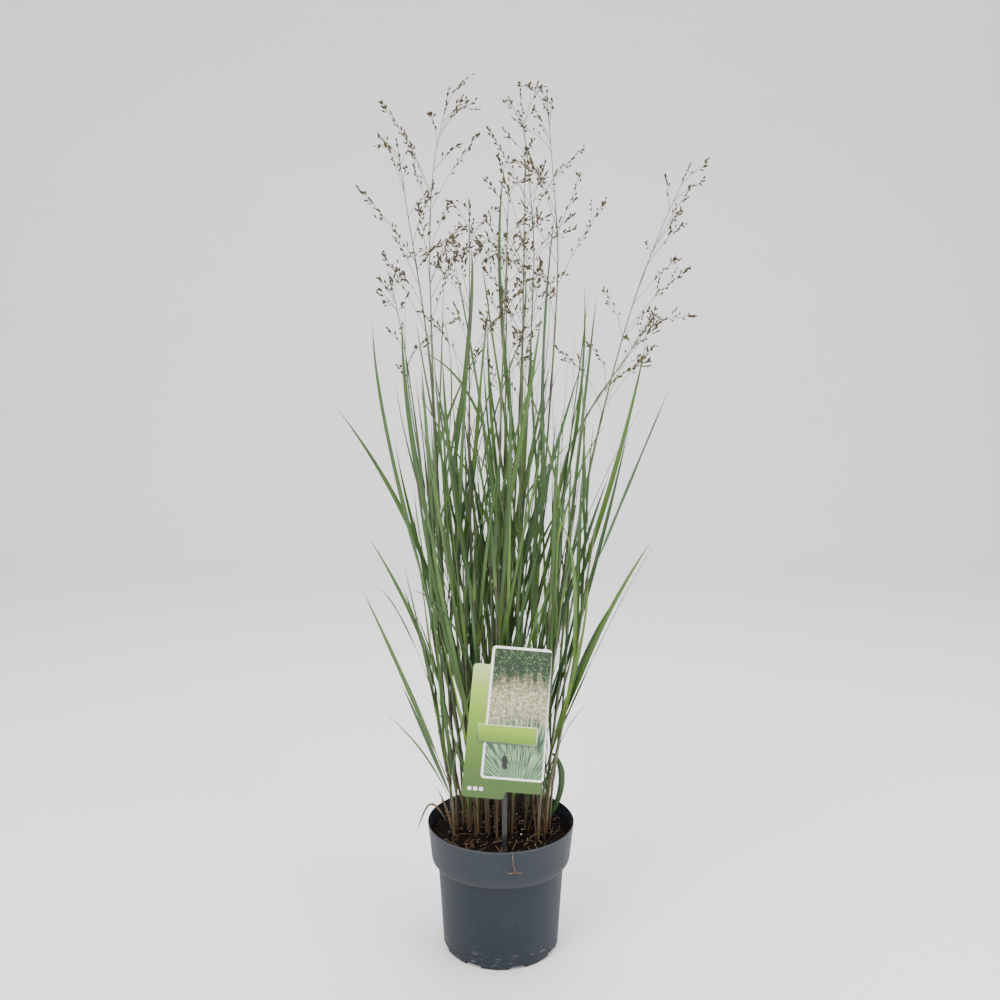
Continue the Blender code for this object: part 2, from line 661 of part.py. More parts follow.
def card_outline() -> list[tuple[float, float]]:
    """The card's die-cut edge: the tall picture half, the lower tab half and the step for the stake."""
    r = CARD_CORNER
    return rounded([(TAB_LEFT, CARD_BOTTOM, r), (STEP_X, CARD_BOTTOM, r * 0.6), (STEP_X + 0.003,
                   CARD_BOTTOM + STEP_RISE, 0.0), (CARD_RIGHT, CARD_BOTTOM + STEP_RISE, r * 0.4),
                   (CARD_RIGHT, PICTURE_BOTTOM, 0.0), (PICTURE_RIGHT, PICTURE_BOTTOM, r),
                   (PICTURE_RIGHT_TOP, PICTURE_TOP, r), (PICTURE_LEFT, PICTURE_TOP, r),
                   (PICTURE_LEFT, TAB_TOP, 0.0), (TAB_LEFT_TOP, TAB_TOP, r)])


def flat_piece(name: str, outlines: list[list], thickness: float, collection) -> bpy.types.Object:
    """A flat piece cut from sheet, as a mesh: its first outline is its edge, and the rest are holes."""
    curve = bpy.data.curves.new(name, "CURVE")
    curve.dimensions = "2D"
    curve.fill_mode = "BOTH"
    curve.extrude = thickness / 2
    for outline in outlines:
        spline = curve.splines.new("POLY")
        spline.points.add(len(outline) - 1)
        for point, (x, y) in zip(spline.points, outline):
            point.co = (x, y, 0.0, 1.0)
        spline.use_cyclic_u = True
    obj = add_object(name, curve, collection)
    bpy.context.view_layer.update()
    return mesh_of(obj, collection)


def oval(width: float, length: float, steps: int = 10) -> list[tuple[float, float]]:
    """A slot with round ends, upright."""
    half, rise = width / 2, (length - width) / 2
    return arc((0, rise), half, 0, 180, steps // 2) + arc((0, -rise), half, 180, 360, steps // 2)


def make_label(collection) -> None:
    """The card, and the ribbed stake behind it whose stud comes through the card's slot."""
    slot = oval(STUD_WIDTH + 2 * SEAT_GAP, STUD_LENGTH + 2 * SEAT_GAP)
    straight = Matrix.Rotation(CARD_TILT, 2)
    upright_slot = [tuple(straight @ Vector(p)) for p in slot]
    card = flat_piece("label_card", [card_outline(), upright_slot], CARD_THICKNESS, collection)
    stand = Matrix.Translation((LABEL_X, LABEL_Y, STUD_HEIGHT)) @ Matrix.Rotation(math.radians(90), 4, "X")
    card.data.transform(stand @ Matrix.Rotation(-CARD_TILT, 4, "Z"))
    card.data.materials.append(finish_material("label_print", (0.35, 0.52, 0.12), 0.35))

    foot = SOIL_LEVEL - STAKE_SOCKET_DEPTH + SEAT_GAP
    top = STUD_HEIGHT + STAKE_ABOVE_STUD
    half, rib = STAKE_WIDTH / 2, STAKE_RIB_WIDTH / 2
    depth = STAKE_PLATE + STAKE_RIB_DEPTH
    section = [(-half, 0), (half, 0), (half, STAKE_PLATE), (rib, STAKE_PLATE), (rib, depth),
               (-rib, depth), (-rib, STAKE_PLATE), (-half, STAKE_PLATE)]
    stake = flat_piece("label_stake", [section], top - foot, collection)
    back = LABEL_Y + CARD_THICKNESS / 2 + SEAT_GAP
    stake.data.transform(Matrix.Translation((LABEL_X, back, (top + foot) / 2)))
    stud = flat_piece("stud", [oval(STUD_WIDTH, STUD_LENGTH)],
                      CARD_THICKNESS + SEAT_GAP + STUD_PROUD + 0.0008, collection)
    front = LABEL_Y - CARD_THICKNESS / 2 - STUD_PROUD
    middle = (front + back + 0.0008) / 2
    stud.data.transform(Matrix.Translation((LABEL_X, middle, STUD_HEIGHT)) @ Matrix.Rotation(math.pi / 2, 4, "X"))
    boolean(stake, stud, "UNION")
    stake.data.materials.append(finish_material("stake_plastic", (0.015, 0.016, 0.018), 0.4))


# Shoots

class GrownShoot:
    """A shoot as one closed skin: each blade and branch grows out of a face of its culm."""

    def __init__(self, shoot: Shoot) -> None:
        """Measures the culm's line."""
        self.shoot = shoot
        self.runs = [0.0]
        for low, high in zip(shoot.line, shoot.line[1:]):
            self.runs.append(self.runs[-1] + (high - low).length)
        self.body = bmesh.new()

    def place_at(self, run: float) -> Vector:
        """The culm's middle at a distance along it."""
        last = len(self.runs) - 2
        index = max(i for i in range(last + 1) if self.runs[i] <= run or i == 0)
        share = (run - self.runs[index]) / (self.runs[index + 1] - self.runs[index])
        return self.shoot.line[index].lerp(self.shoot.line[index + 1], share)

    def run_of(self, place: Vector) -> float:
        """The distance along the culm of the point nearest to a place."""
        steps = [self.runs[-1] * i / 600 for i in range(601)]
        return min(steps, key=lambda run: (self.place_at(run) - place).length)

    def limbs(self) -> list[tuple[float, float, list[list[Vector]]]]:
        """Each blade and branch as its distance along the culm, its seat's half height and its rings."""
        found = []
        for blade in self.shoot.blades:
            rings = [blade_section(blade, i, 0.0) for i in range(1, len(blade.line))]
            found.append((self.run_of(blade.line[0]), BLADE_SEAT, rings))
        for branch in self.shoot.branches:
            radii = [BRANCH_RADIUS, BRANCH_RADIUS, BRANCH_HEAD_RADIUS, BRANCH_RADIUS]
            corners = tube_corners(branch.line, radii, 4)
            rings = [corners[i * 4:i * 4 + 4] for i in range(1, len(branch.line))]
            found.append((self.run_of(branch.line[0]), BRANCH_SEAT, rings))
        found.sort(key=lambda limb: limb[0])
        spaced = []
        reached = 0.02
        for run, seat, rings in found:
            run = max(run, reached + seat + 0.0006)
            reached = run + seat
            if reached < self.runs[-1] - 0.001:
                spaced.append((run, seat, rings))
        return spaced

    def rings_of_culm(self, limbs: list) -> tuple[list[list[bmesh.types.BMVert]], dict[int, list]]:
        """The culm's rings of corners, and the limb that grows between two of them, by the lower's number."""
        stations = [(run, None) for run in self.runs
                    if all(abs(run - at) > seat + 0.0012 for at, seat, _ in limbs)
                    or run in (self.runs[0], self.runs[-1])]
        for at, seat, rings in limbs:
            stations += [(at - seat, rings), (at + seat, None)]
        stations.sort(key=lambda station: station[0])
        line = [self.place_at(run) for run, _ in stations]
        radii = [culm_radius(self.shoot, place.z) for place in line]
        corners = tube_corners(line, radii, CULM_SIDES)
        made = [self.body.verts.new(corner) for corner in corners]
        culm = [made[i * CULM_SIDES:(i + 1) * CULM_SIDES] for i in range(len(line))]
        return culm, {i: rings for i, (_, rings) in enumerate(stations) if rings}

    @staticmethod
    def facing(corners: list[Vector]) -> Vector:
        """The way that a ring of four corners faces."""
        return (corners[2] - corners[0]).cross(corners[3] - corners[1])

    def grow_limb(self, seat: list[bmesh.types.BMVert], outward: Vector, rings: list[list[Vector]]) -> None:
        """Joins a limb's rings to its seat's corners, the same way round and with the least twist."""
        places = [corner.co for corner in seat]
        first = rings[0]
        onward = sum(rings[1], Vector()) - sum(first, Vector())
        same_way = self.facing(places).dot(outward) * self.facing(first).dot(onward) > 0
        way = [0, 1, 2, 3] if same_way else [3, 2, 1, 0]
        turns = [way[k:] + way[:k] for k in range(4)]
        order = min(turns, key=lambda turn: sum((place - first[i]).length for place, i in zip(places, turn)))
        before = seat
        for ring in rings:
            corners = [self.body.verts.new(ring[i]) for i in order]
            for k in range(4):
                following = (k + 1) % 4
                self.body.faces.new((before[k], before[following], corners[following], corners[k]))
            before = corners
        self.body.faces.new(before[::-1])

    def mesh(self) -> bpy.types.Mesh:
        """Builds the skin."""
        limbs = self.limbs()
        culm, growing = self.rings_of_culm(limbs)
        for i, (low, high) in enumerate(zip(culm, culm[1:])):
            chosen = -1
            if i in growing:
                middle = sum((corner.co for corner in low), Vector()) / CULM_SIDES
                goal = sum(growing[i][0], Vector()) / 4 - middle
                outward = [(low[s].co + low[(s + 1) % CULM_SIDES].co) / 2 - middle for s in range(CULM_SIDES)]
                chosen = max(range(CULM_SIDES), key=lambda s: outward[s].normalized().dot(goal))
            for s in range(CULM_SIDES):
                on = (s + 1) % CULM_SIDES
                quad = [low[s], low[on], high[on], high[s]]
                if s == chosen:
                    self.grow_limb(quad, outward[s], growing[i])
                else:
                    self.body.faces.new(quad)
        self.body.faces.new(culm[0][::-1])
        self.body.faces.new(culm[-1])
        bmesh.ops.recalc_face_normals(self.body, faces=self.body.faces)
        bmesh.ops.triangulate(self.body, faces=self.body.faces)
        if self.body.calc_volume(signed=True) < 0:
            bmesh.ops.reverse_faces(self.body, faces=self.body.faces)
        mesh = bpy.data.meshes.new("shoot")
        self.body.to_mesh(mesh)
        self.body.free()
        return mesh


def make_shoot(number: int, shoot: Shoot, collection, material) -> None:
    """A shoot as one piece: its culm, its blades and its panicle's main branches."""
    name = f"{'flowering' if shoot.panicle_from else 'leafy'}_shoot_{number:02d}"
    add_object(name, GrownShoot(shoot).mesh(), collection, material)


def main() -> None:
    """Builds the whole potted plant."""
    clear_scene()
    plant = new_collection("potted_switchgrass")
    make_pot(plant)
    make_label(plant)
    clump = Clump()
    clump.grow()
    make_soil(clump.shoots, plant)
    leaf = finish_material("grass_leaf", (0.115, 0.210, 0.080), 0.5)
    for number, shoot in enumerate(clump.shoots, 1):
        make_shoot(number, shoot, plant, leaf)
    print(len(clump.shoots), "shoots,", sum(len(s.blades) for s in clump.shoots), "blades,",
          sum(len(s.branches) for s in clump.shoots), "branches")


main()
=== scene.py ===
"""A clump of switchgrass in a round nursery pot, with its stick-in plant label.

Metres, +Z up, the label on the -Y side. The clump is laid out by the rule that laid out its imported
model, so each detailed shoot grows along the shoot that it stands for. Thinner blades and finer
panicle branches then fill the room that is left.
"""

import logging
import math
import random
from dataclasses import dataclass, field
from enum import Enum

import bmesh
import bpy
import numpy as np
from mathutils import Matrix, Vector, noise
from mathutils.bvhtree import BVHTree


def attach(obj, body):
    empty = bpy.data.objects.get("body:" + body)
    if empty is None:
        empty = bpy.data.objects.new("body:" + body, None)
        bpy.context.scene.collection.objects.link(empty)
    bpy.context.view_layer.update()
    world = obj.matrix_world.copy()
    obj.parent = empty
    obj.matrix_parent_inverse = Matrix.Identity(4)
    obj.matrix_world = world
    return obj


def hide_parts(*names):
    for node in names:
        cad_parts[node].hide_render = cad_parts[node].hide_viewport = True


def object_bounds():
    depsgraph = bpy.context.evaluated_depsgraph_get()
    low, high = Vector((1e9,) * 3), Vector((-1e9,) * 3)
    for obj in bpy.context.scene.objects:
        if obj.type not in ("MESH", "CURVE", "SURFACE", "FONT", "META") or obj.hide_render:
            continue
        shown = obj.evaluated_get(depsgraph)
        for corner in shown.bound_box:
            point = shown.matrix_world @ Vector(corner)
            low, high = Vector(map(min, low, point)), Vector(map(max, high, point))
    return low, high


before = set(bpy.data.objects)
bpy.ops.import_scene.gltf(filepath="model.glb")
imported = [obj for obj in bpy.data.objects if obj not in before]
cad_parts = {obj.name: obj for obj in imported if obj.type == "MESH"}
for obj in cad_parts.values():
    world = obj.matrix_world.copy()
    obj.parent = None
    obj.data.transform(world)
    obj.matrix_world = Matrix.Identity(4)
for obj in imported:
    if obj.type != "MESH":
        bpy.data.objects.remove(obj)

CAD_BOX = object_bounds()
LOG = logging.getLogger("potted_switchgrass")
UP = Vector((0.0, 0.0, 1.0))

# Pot and soil
POT_HEIGHT = 0.149
RIM_RADIUS = 0.0855
COLLAR_FOOT_RADIUS = 0.0812
COLLAR_DEPTH = 0.0475
SHOULDER_RADIUS = 0.0075
BODY_TOP_RADIUS = 0.0736
BASE_RADIUS = 0.0676
BASE_ROUNDING = 0.003
POT_WALL = 0.0018
POT_FLOOR = 0.0024
SOIL_LEVEL = 0.137
SOCKET_DEPTH = 0.012
SEAT_GAP = 0.0003
CROWN_RADIUS = 0.056

# Label
LABEL_X = 0.004
LABEL_Y = -0.0625
STUD_HEIGHT = 0.2425
CARD_TILT = math.radians(4.9)
PICTURE_LEFT = -0.0241
PICTURE_RIGHT = 0.0447
PICTURE_TOP = 0.1308
PICTURE_BOTTOM = -0.0195
CARD_CORNER = 0.0045

# Grass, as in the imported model
SEED = 23
FOOT_SPACING = 0.0088
FILL_SHOOTS = 26
FILL_FLOWERING = 5
FOOT_RADIUS = 0.0021
CULM_RADIUS = 0.0014
RACHIS_TIP_RADIUS = 0.0004
CULM_SIDES = 6
CULM_POINTS = 7
CULM_STUB = 0.004
BLADE_STEPS = 6
BLADE_FOLD = 0.12
BLADE_BASE_WIDTH = 0.28
BLADE_LEAVING = math.radians(13)
BLADE_TIP_WIDTH = 0.07
BRANCH_HEAD_RADIUS = 0.0009
GAP = 0.00045
GOLDEN_ANGLE = math.radians(137.5)

# Room kept free round the label: its corners seen from above, and its top
LABEL_ROOM = ((-0.048, -0.150), (0.066, -0.150), (0.066, -0.0545), (-0.048, -0.0545))
LABEL_ROOM_TOP = 0.380

# Grass, in the detail that is added here
FINE_BLADE_STEPS = 26
SLENDER = 0.80
SHEATH_BASE_WIDTH = 0.62
THIN_BLADE_ROUNDS = 7
THIN_BLADE_TRIES = 12
THIN_BLADE_FOOT = 0.155
THIN_BLADE_TOP = 0.56
THIN_BLADE_LENGTH = (0.14, 0.34)
THIN_BLADE_REACH = (0.015, 0.110)
THIN_BLADE_WIDTH = (0.0030, 0.0062)
THIN_TIP_SPAN = (-0.110, 0.098)
THIN_TIP_SPAN_FROM = 0.30
EXTRA_BRANCHES = 7
SPIKELET_LENGTH = 0.0047
SPIKELET_WIDTH = 0.0022
DEAD_SHEATHS = 64
BRANCH_THREAD = 0.00040
PEDICEL_THREAD = 0.00022


@dataclass(frozen=True)
class LowLeaf:
    """A leaf placed near the soil: its width, age and tint, and the way that it takes."""

    width: float
    age: float
    tint: float
    path: tuple[tuple[float, float, float], ...]


LOW_LEAVES = [
    LowLeaf(0.0076, 0.05, 0.10, ((0.059, -0.010, 0.232), (0.064, -0.012, 0.229), (0.069, -0.014, 0.216),
                                 (0.070, -0.014, 0.200), (0.067, -0.011, 0.181), (0.060, -0.006, 0.160),
                                 (0.047, 0.001, 0.138))),
    LowLeaf(0.0026, 2.2, 0.10, ((-0.064, -0.004, 0.149), (-0.075, -0.001, 0.164), (-0.084, 0.000, 0.166),
                                (-0.092, 0.000, 0.152), (-0.099, 0.000, 0.131))),
    LowLeaf(0.0030, 2.2, 0.80, ((-0.050, -0.032, 0.136), (-0.048, -0.038, 0.147), (-0.036, -0.044, 0.151),
                                (-0.022, -0.046, 0.147))),
    LowLeaf(0.0030, 1.6, 0.30, ((-0.054, -0.022, 0.136), (-0.060, -0.026, 0.165), (-0.068, -0.030, 0.190),
                                (-0.074, -0.032, 0.202))),
    LowLeaf(0.0040, 2.2, 0.50, ((-0.030, -0.050, 0.136), (-0.033, -0.052, 0.146), (-0.026, -0.056, 0.150),
                                (-0.014, -0.058, 0.146))),
    LowLeaf(0.0028, 2.2, 0.70, ((0.030, -0.040, 0.136), (0.034, -0.046, 0.148), (0.044, -0.050, 0.154),
                                (0.052, -0.052, 0.146))),
]


# Layout of the clump

@dataclass
class Blade:
    """A leaf blade: where it leaves its culm, its tip and its size, in metres and degrees."""

    collar: float
    tip: tuple[float, float, float]
    width: float = 0.007
    rise: float = 0.55
    twist: float = 75.0
    via: tuple[float, float, float] | None = None
    line: list[Vector] = field(default_factory=list)
    across: list[Vector] = field(default_factory=list)


@dataclass
class Shoot:
    """A culm with its blades. The path runs from above the soil to the culm's end or the panicle's tip."""

    foot: tuple[float, float]
    path: list[tuple[float, float, float]]
    blades: list[Blade] = field(default_factory=list)
    panicle_from: float = 0.0
    branch_count: int = 0
    branch_reach: float = 0.12
    line: list[Vector] = field(default_factory=list)
    branches: list[list[Vector]] = field(default_factory=list)


# The shoots that give the clump its outline, from left to right
CHOSEN = [
    Shoot((-0.058, 0.012), [(-0.075, 0.015, 0.40), (-0.095, 0.015, 0.60), (-0.112, 0.015, 0.72),
                            (-0.124, 0.015, 0.775)],
          [Blade(0.29, (-0.149, 0.005, 0.480), 0.0070), Blade(0.40, (-0.098, 0.030, 0.670), 0.0065)],
          0.62, 6, 0.050),
    Shoot((-0.050, -0.012), [(-0.062, -0.012, 0.35), (-0.070, -0.012, 0.55), (-0.080, -0.012, 0.703),
                             (-0.095, -0.010, 0.80), (-0.111, -0.010, 0.912)],
          [Blade(0.44, (-0.108, -0.016, 0.725), 0.0090), Blade(0.34, (-0.141, -0.002, 0.723), 0.0075, 0.75)],
          0.69, 8, 0.110),
    Shoot((-0.043, 0.002), [(-0.055, 0.002, 0.30), (-0.072, 0.002, 0.525), (-0.077, 0.002, 0.747),
                            (-0.076, 0.002, 0.864), (-0.056, 0.002, 0.968)],
          [Blade(0.46, (-0.033, 0.004, 0.804), 0.0075, 0.85), Blade(0.36, (-0.055, 0.020, 0.640), 0.0070)],
          0.72, 9, 0.120),
    Shoot((-0.054, -0.026), [(-0.067, -0.028, 0.25), (-0.080, -0.030, 0.34)],
          [Blade(0.20, (-0.153, -0.030, 0.428), 0.0080), Blade(0.185, (-0.110, -0.045, 0.326), 0.0060),
           Blade(0.175, (-0.134, -0.020, 0.286), 0.0040), Blade(0.31, (-0.141, -0.010, 0.427), 0.0035, 0.9)]),
    Shoot((0.012, 0.006), [(0.020, 0.006, 0.40), (0.035, 0.010, 0.747), (0.034, 0.010, 0.84),
                           (0.021, 0.010, 0.969)],
          [Blade(0.52, (0.005, -0.008, 0.895), 0.0060, 0.7), Blade(0.38, (0.030, 0.030, 0.700), 0.0075)],
          0.71, 9, 0.110),
    Shoot((0.028, -0.012), [(0.042, -0.016, 0.45), (0.060, -0.020, 0.747), (0.058, -0.020, 0.84),
                            (0.048, -0.020, 0.959)],
          [Blade(0.54, (0.057, -0.037, 0.838), 0.0065), Blade(0.36, (0.045, -0.035, 0.650), 0.0080)],
          0.73, 9, 0.120),
    Shoot((0.000, 0.024), [(0.010, 0.024, 0.40), (0.024, 0.022, 0.70), (0.021, 0.022, 0.815),
                           (-0.016, 0.016, 0.834), (-0.087, 0.012, 0.796)],
          [Blade(0.44, (-0.015, 0.030, 0.730), 0.0070)],
          0.76, 7, 0.060),
    Shoot((0.050, 0.006), [(0.062, 0.006, 0.25), (0.076, 0.004, 0.42), (0.098, 0.002, 0.55),
                           (0.125, 0.000, 0.671), (0.158, 0.000, 0.781), (0.204, 0.000, 0.890)],
          [Blade(0.38, (0.159, -0.010, 0.702), 0.0085), Blade(0.30, (0.145, 0.018, 0.606), 0.0070),
           Blade(0.27, (0.106, 0.024, 0.445), 0.0035)],
          0.60, 9, 0.115),
    Shoot((0.043, -0.022), [(0.050, -0.023, 0.30), (0.060, -0.022, 0.50), (0.076, -0.020, 0.587),
                            (0.125, -0.020, 0.668), (0.166, -0.022, 0.728)],
          [Blade(0.49, (0.089, -0.030, 0.760), 0.0085), Blade(0.34, (0.118, -0.034, 0.559), 0.0070)],
          0.63, 7, 0.070),
    Shoot((0.056, -0.010), [(0.066, -0.018, 0.24), (0.074, -0.020, 0.36), (0.078, -0.018, 0.50)],
          [Blade(0.265, (0.166, -0.030, 0.484), 0.0080),
           Blade(0.215, (0.047, -0.052, 0.146), 0.0080, via=(0.098, -0.045, 0.235))]),
]


def smooth_line(points: list, count: int) -> list[Vector]:
    """A Catmull-Rom line through the points, read again at even steps.

    Args:
        points: the places that the line passes through.
        count: how many points the line gets.

    Returns:
        The points of the line, from first to last.
    """
    known = np.array([tuple(p) for p in points], float)
    known = np.vstack([2 * known[0] - known[1], known, 2 * known[-1] - known[-2]])
    fine = []
    for i in range(1, len(known) - 2):
        before, start, end, after = known[i - 1:i + 3]
        for t in np.linspace(0, 1, 24, endpoint=False):
            fine.append(0.5 * (2 * start + (end - before) * t
                               + (2 * before - 5 * start + 4 * end - after) * t ** 2
                               + (3 * start - before - 3 * end + after) * t ** 3))
    fine.append(known[-2])
    fine = np.array(fine)
    run = np.concatenate([[0.0], np.cumsum(np.linalg.norm(np.diff(fine, axis=0), axis=1))])
    wanted = np.linspace(0, run[-1], count)
    return [Vector(p) for p in np.stack([np.interp(wanted, run, fine[:, k]) for k in range(3)], axis=1)]


def tangents(line: list[Vector]) -> list[Vector]:
    """The direction of a line at each of its points."""
    last = len(line) - 1
    return [(line[min(i + 1, last)] - line[max(i - 1, 0)]).normalized() for i in range(last + 1)]


def at_height(line: list[Vector], height: float) -> tuple[Vector, Vector]:
    """Where a rising line first passes a height, and its direction there."""
    for low, high in zip(line, line[1:]):
        if high.z >= height:
            share = (height - low.z) / max(high.z - low.z, 1e-6)
            return low.lerp(high, max(0.0, min(1.0, share))), (high - low).normalized()
    return line[-1].copy(), (line[-1] - line[-2]).normalized()


def bowed_line(start: Vector, middle: Vector, end: Vector, shares: list[float]) -> list[Vector]:
    """The points at shares of a line that leaves its start towards the middle and arrives at its end."""
    return [start * (1 - t) ** 2 + middle * (2 * t * (1 - t)) + end * t ** 2 for t in shares]


def blade_width(share: float) -> float:
    """A blade's width at a share of its length, as a share of its greatest width."""
    opening = min(1.0, share / 0.18)
    opening = BLADE_BASE_WIDTH + (1 - BLADE_BASE_WIDTH) * opening * opening * (3 - 2 * opening)
    return max(BLADE_TIP_WIDTH, opening * (1 - share ** 2.4) ** 0.85)


def lay_blade(shoot: Shoot, blade: Blade, steps: int) -> None:
    """Works out a blade's centre line and the way its width faces at each point of it."""
    start, along = at_height(shoot.line, blade.collar)
    tip = Vector(blade.tip)
    length = (tip - start).length
    away = tip - start
    away = (away - along * away.dot(along)).normalized()
    leave = along * math.cos(BLADE_LEAVING) + away * math.sin(BLADE_LEAVING)
    middle = Vector(blade.via) if blade.via else start + leave * (length * blade.rise)
    shares = [i / steps for i in range(steps + 1)]
    blade.line = bowed_line(start, middle, tip, shares)
    ways = tangents(blade.line)
    bend = (middle - start).cross(tip - start)
    side = bend.normalized() if bend.length > 1e-6 else along.orthogonal().normalized()
    blade.across = []
    for t, way in zip(shares, ways):
        side = (side - way * side.dot(way)).normalized()
        turned = min(1.0, t / 0.4)
        angle = math.radians(blade.twist) * turned * turned * (3 - 2 * turned)
        blade.across.append(Matrix.Rotation(angle, 3, way) @ side)


def blade_section(blade: Blade, index: int, grow: float) -> list[Vector]:
    """The four corners of a blade's folded section: left edge, keel, right edge and the fold's inside."""
    share = index / (len(blade.line) - 1)
    half = blade.width * blade_width(share) / 2
    way = tangents(blade.line)[index]
    side = blade.across[index]
    face = side.cross(way)
    middle = blade.line[index]
    fold = half * 2 * BLADE_FOLD
    return [middle - side * (half + grow) + face * (fold / 2 + grow),
            middle - face * (fold / 2 + grow),
            middle + side * (half + grow) + face * (fold / 2 + grow),
            middle + face * (fold * 0.42 + grow)]


def ring_faces(rings: int, sides: int) -> list[tuple[int, ...]]:
    """The faces that join rings of corners into a closed body, its two ends included."""
    faces = [(r * sides + (s + 1) % sides, r * sides + s, (r + 1) * sides + s,
              (r + 1) * sides + (s + 1) % sides) for r in range(rings - 1) for s in range(sides)]
    faces.append(tuple(range(sides)))
    faces.append(tuple((rings - 1) * sides + s for s in reversed(range(sides))))
    return faces


def tube_corners(line: list[Vector], radii: list[float], sides: int) -> list[Vector]:
    """The corners of a round tube along a line, a ring for each of its points."""
    corners = []
    for middle, way, radius in zip(line, tangents(line), radii):
        side = way.cross(Vector((0.0, 1.0, 0.0))).normalized()
        face = way.cross(side)
        for s in range(sides):
            turn = 2 * math.pi * s / sides
            corners.append(middle + (side * math.cos(turn) + face * math.sin(turn)) * radius)
    return corners


def box_of(corners: list[Vector]) -> tuple[list[float], list[float]]:
    """The least and greatest corner of the box round a body."""
    return [min(c[k] for c in corners) for k in range(3)], [max(c[k] for c in corners) for k in range(3)]


@dataclass
class Clump:
    """The whole clump as it is laid out, with what each new piece has to stay clear of."""

    rng: random.Random = field(default_factory=lambda: random.Random(SEED))
    shoots: list[Shoot] = field(default_factory=list)
    taken: list[tuple[list[float], list[float], BVHTree, Shoot | None]] = field(default_factory=list)

    def __post_init__(self) -> None:
        """Starts with the label's own room taken."""
        self.take([Vector((x, y, z)) for z in (SOIL_LEVEL - 0.02, LABEL_ROOM_TOP) for x, y in LABEL_ROOM],
                  ring_faces(2, 4))

    def take(self, corners: list[Vector], faces: list[tuple[int, ...]], culm_of: Shoot | None = None) -> None:
        """Marks a body's room as taken."""
        low, high = box_of(corners)
        self.taken.append((low, high, BVHTree.FromPolygons(corners, faces), culm_of))

    def clear(self, corners: list[Vector], faces: list[tuple[int, ...]], shoot: Shoot | None = None) -> bool:
        """Whether a body meets nothing that is already there, but for the culm that it grows on."""
        low, high = box_of(corners)
        near = [tree for least, most, tree, culm_of in self.taken
                if (shoot is None or culm_of is not shoot)
                and all(least[k] <= high[k] and most[k] >= low[k] for k in range(3))]
        own = BVHTree.FromPolygons(corners, faces)
        return not any(own.overlap(tree) for tree in near)

    def culm_body(self, shoot: Shoot, grow: float) -> tuple[list[Vector], list[tuple[int, ...]]]:
        """The corners and faces of a shoot's culm, made wider by grow."""
        radii = [culm_radius(shoot, p.z) + grow for p in shoot.line]
        return tube_corners(shoot.line, radii, CULM_SIDES), ring_faces(len(shoot.line), CULM_SIDES)

    def blade_body(self, blade: Blade, first: int, grow: float) -> tuple[list[Vector], list[tuple[int, ...]]]:
        """The corners and faces of a blade from one of its points on, made wider by grow."""
        rings = range(first, len(blade.line))
        corners = [c for i in rings for c in blade_section(blade, i, grow)]
        return corners, ring_faces(len(rings), 4)

    def add_culm(self, shoot: Shoot) -> bool:
        """Plants a shoot if its culm and its foot are clear of the others."""
        spaced = all(math.dist(shoot.foot, other.foot) >= FOOT_SPACING for other in self.shoots)
        count = CULM_POINTS + (4 if shoot.panicle_from else 0)
        foot = Vector((*shoot.foot, SOIL_LEVEL + CULM_STUB))
        rooted = Vector((*shoot.foot, SOIL_LEVEL - SOCKET_DEPTH + SEAT_GAP))
        lifted = foot + UP * 0.03 + (Vector(shoot.path[0]) - foot) * 0.12
        shoot.line = [rooted, *smooth_line([foot, lifted, *shoot.path], count)]
        corners, faces = self.culm_body(shoot, GAP)
        if not spaced or not self.clear(corners, faces):
            return False
        self.take(corners, faces, shoot)
        self.shoots.append(shoot)
        return True

    def add_blade(self, shoot: Shoot, blade: Blade) -> bool:
        """Grows a blade on a planted shoot if it is clear of everything but its own collar."""
        lay_blade(shoot, blade, BLADE_STEPS)
        if not self.clear(*self.blade_body(blade, 0, GAP), shoot):
            return False
        if not self.clear(*self.blade_body(blade, 1, GAP)):
            return False
        self.take(*self.blade_body(blade, 0, GAP))
        shoot.blades.append(blade)
        return True

    def add_branches(self, shoot: Shoot) -> None:
        """Grows a panicle's main branches, longest at its foot, each turned on from the last."""
        top = shoot.line[-1].z
        rachis = [p for p in shoot.line if p.z > shoot.panicle_from - 0.02]
        turn = self.rng.uniform(0, 2 * math.pi)
        for k in range(shoot.branch_count):
            share = (k + 0.35 * self.rng.random()) / shoot.branch_count
            place = rachis[0].lerp(rachis[-1], share)
            nearest = min(rachis[:-1], key=lambda p: (p - place).length)
            after = rachis[rachis.index(nearest) + 1]
            start = nearest.lerp(after, 0.25 + 0.5 * self.rng.random())
            way = (after - nearest).normalized()
            for _ in range(14):
                turn += GOLDEN_ANGLE + self.rng.uniform(-0.4, 0.4)
                out = Vector((math.cos(turn), 0.7 * math.sin(turn), 0.0)).normalized()
                reach = shoot.branch_reach * (1.08 - 0.85 * share) * self.rng.uniform(0.75, 1.1)
                spread = math.radians(self.rng.uniform(24, 46))
                end = start + (way * math.cos(spread) + out * math.sin(spread)) * reach
                end.z = min(end.z, top)
                middle = start + (way * 0.85 + out * 0.35) * (reach * 0.5)
                line = bowed_line(start, middle, end, [0.0, 0.4, 0.75, 1.0])
                body = tube_corners(line, [BRANCH_HEAD_RADIUS + GAP] * 4, 4), ring_faces(4, 4)
                free = tube_corners(line[1:], [BRANCH_HEAD_RADIUS + GAP] * 3, 4), ring_faces(3, 4)
                if self.clear(*body, shoot) and self.clear(*free):
                    self.take(*body)
                    shoot.branches.append(line)
                    break

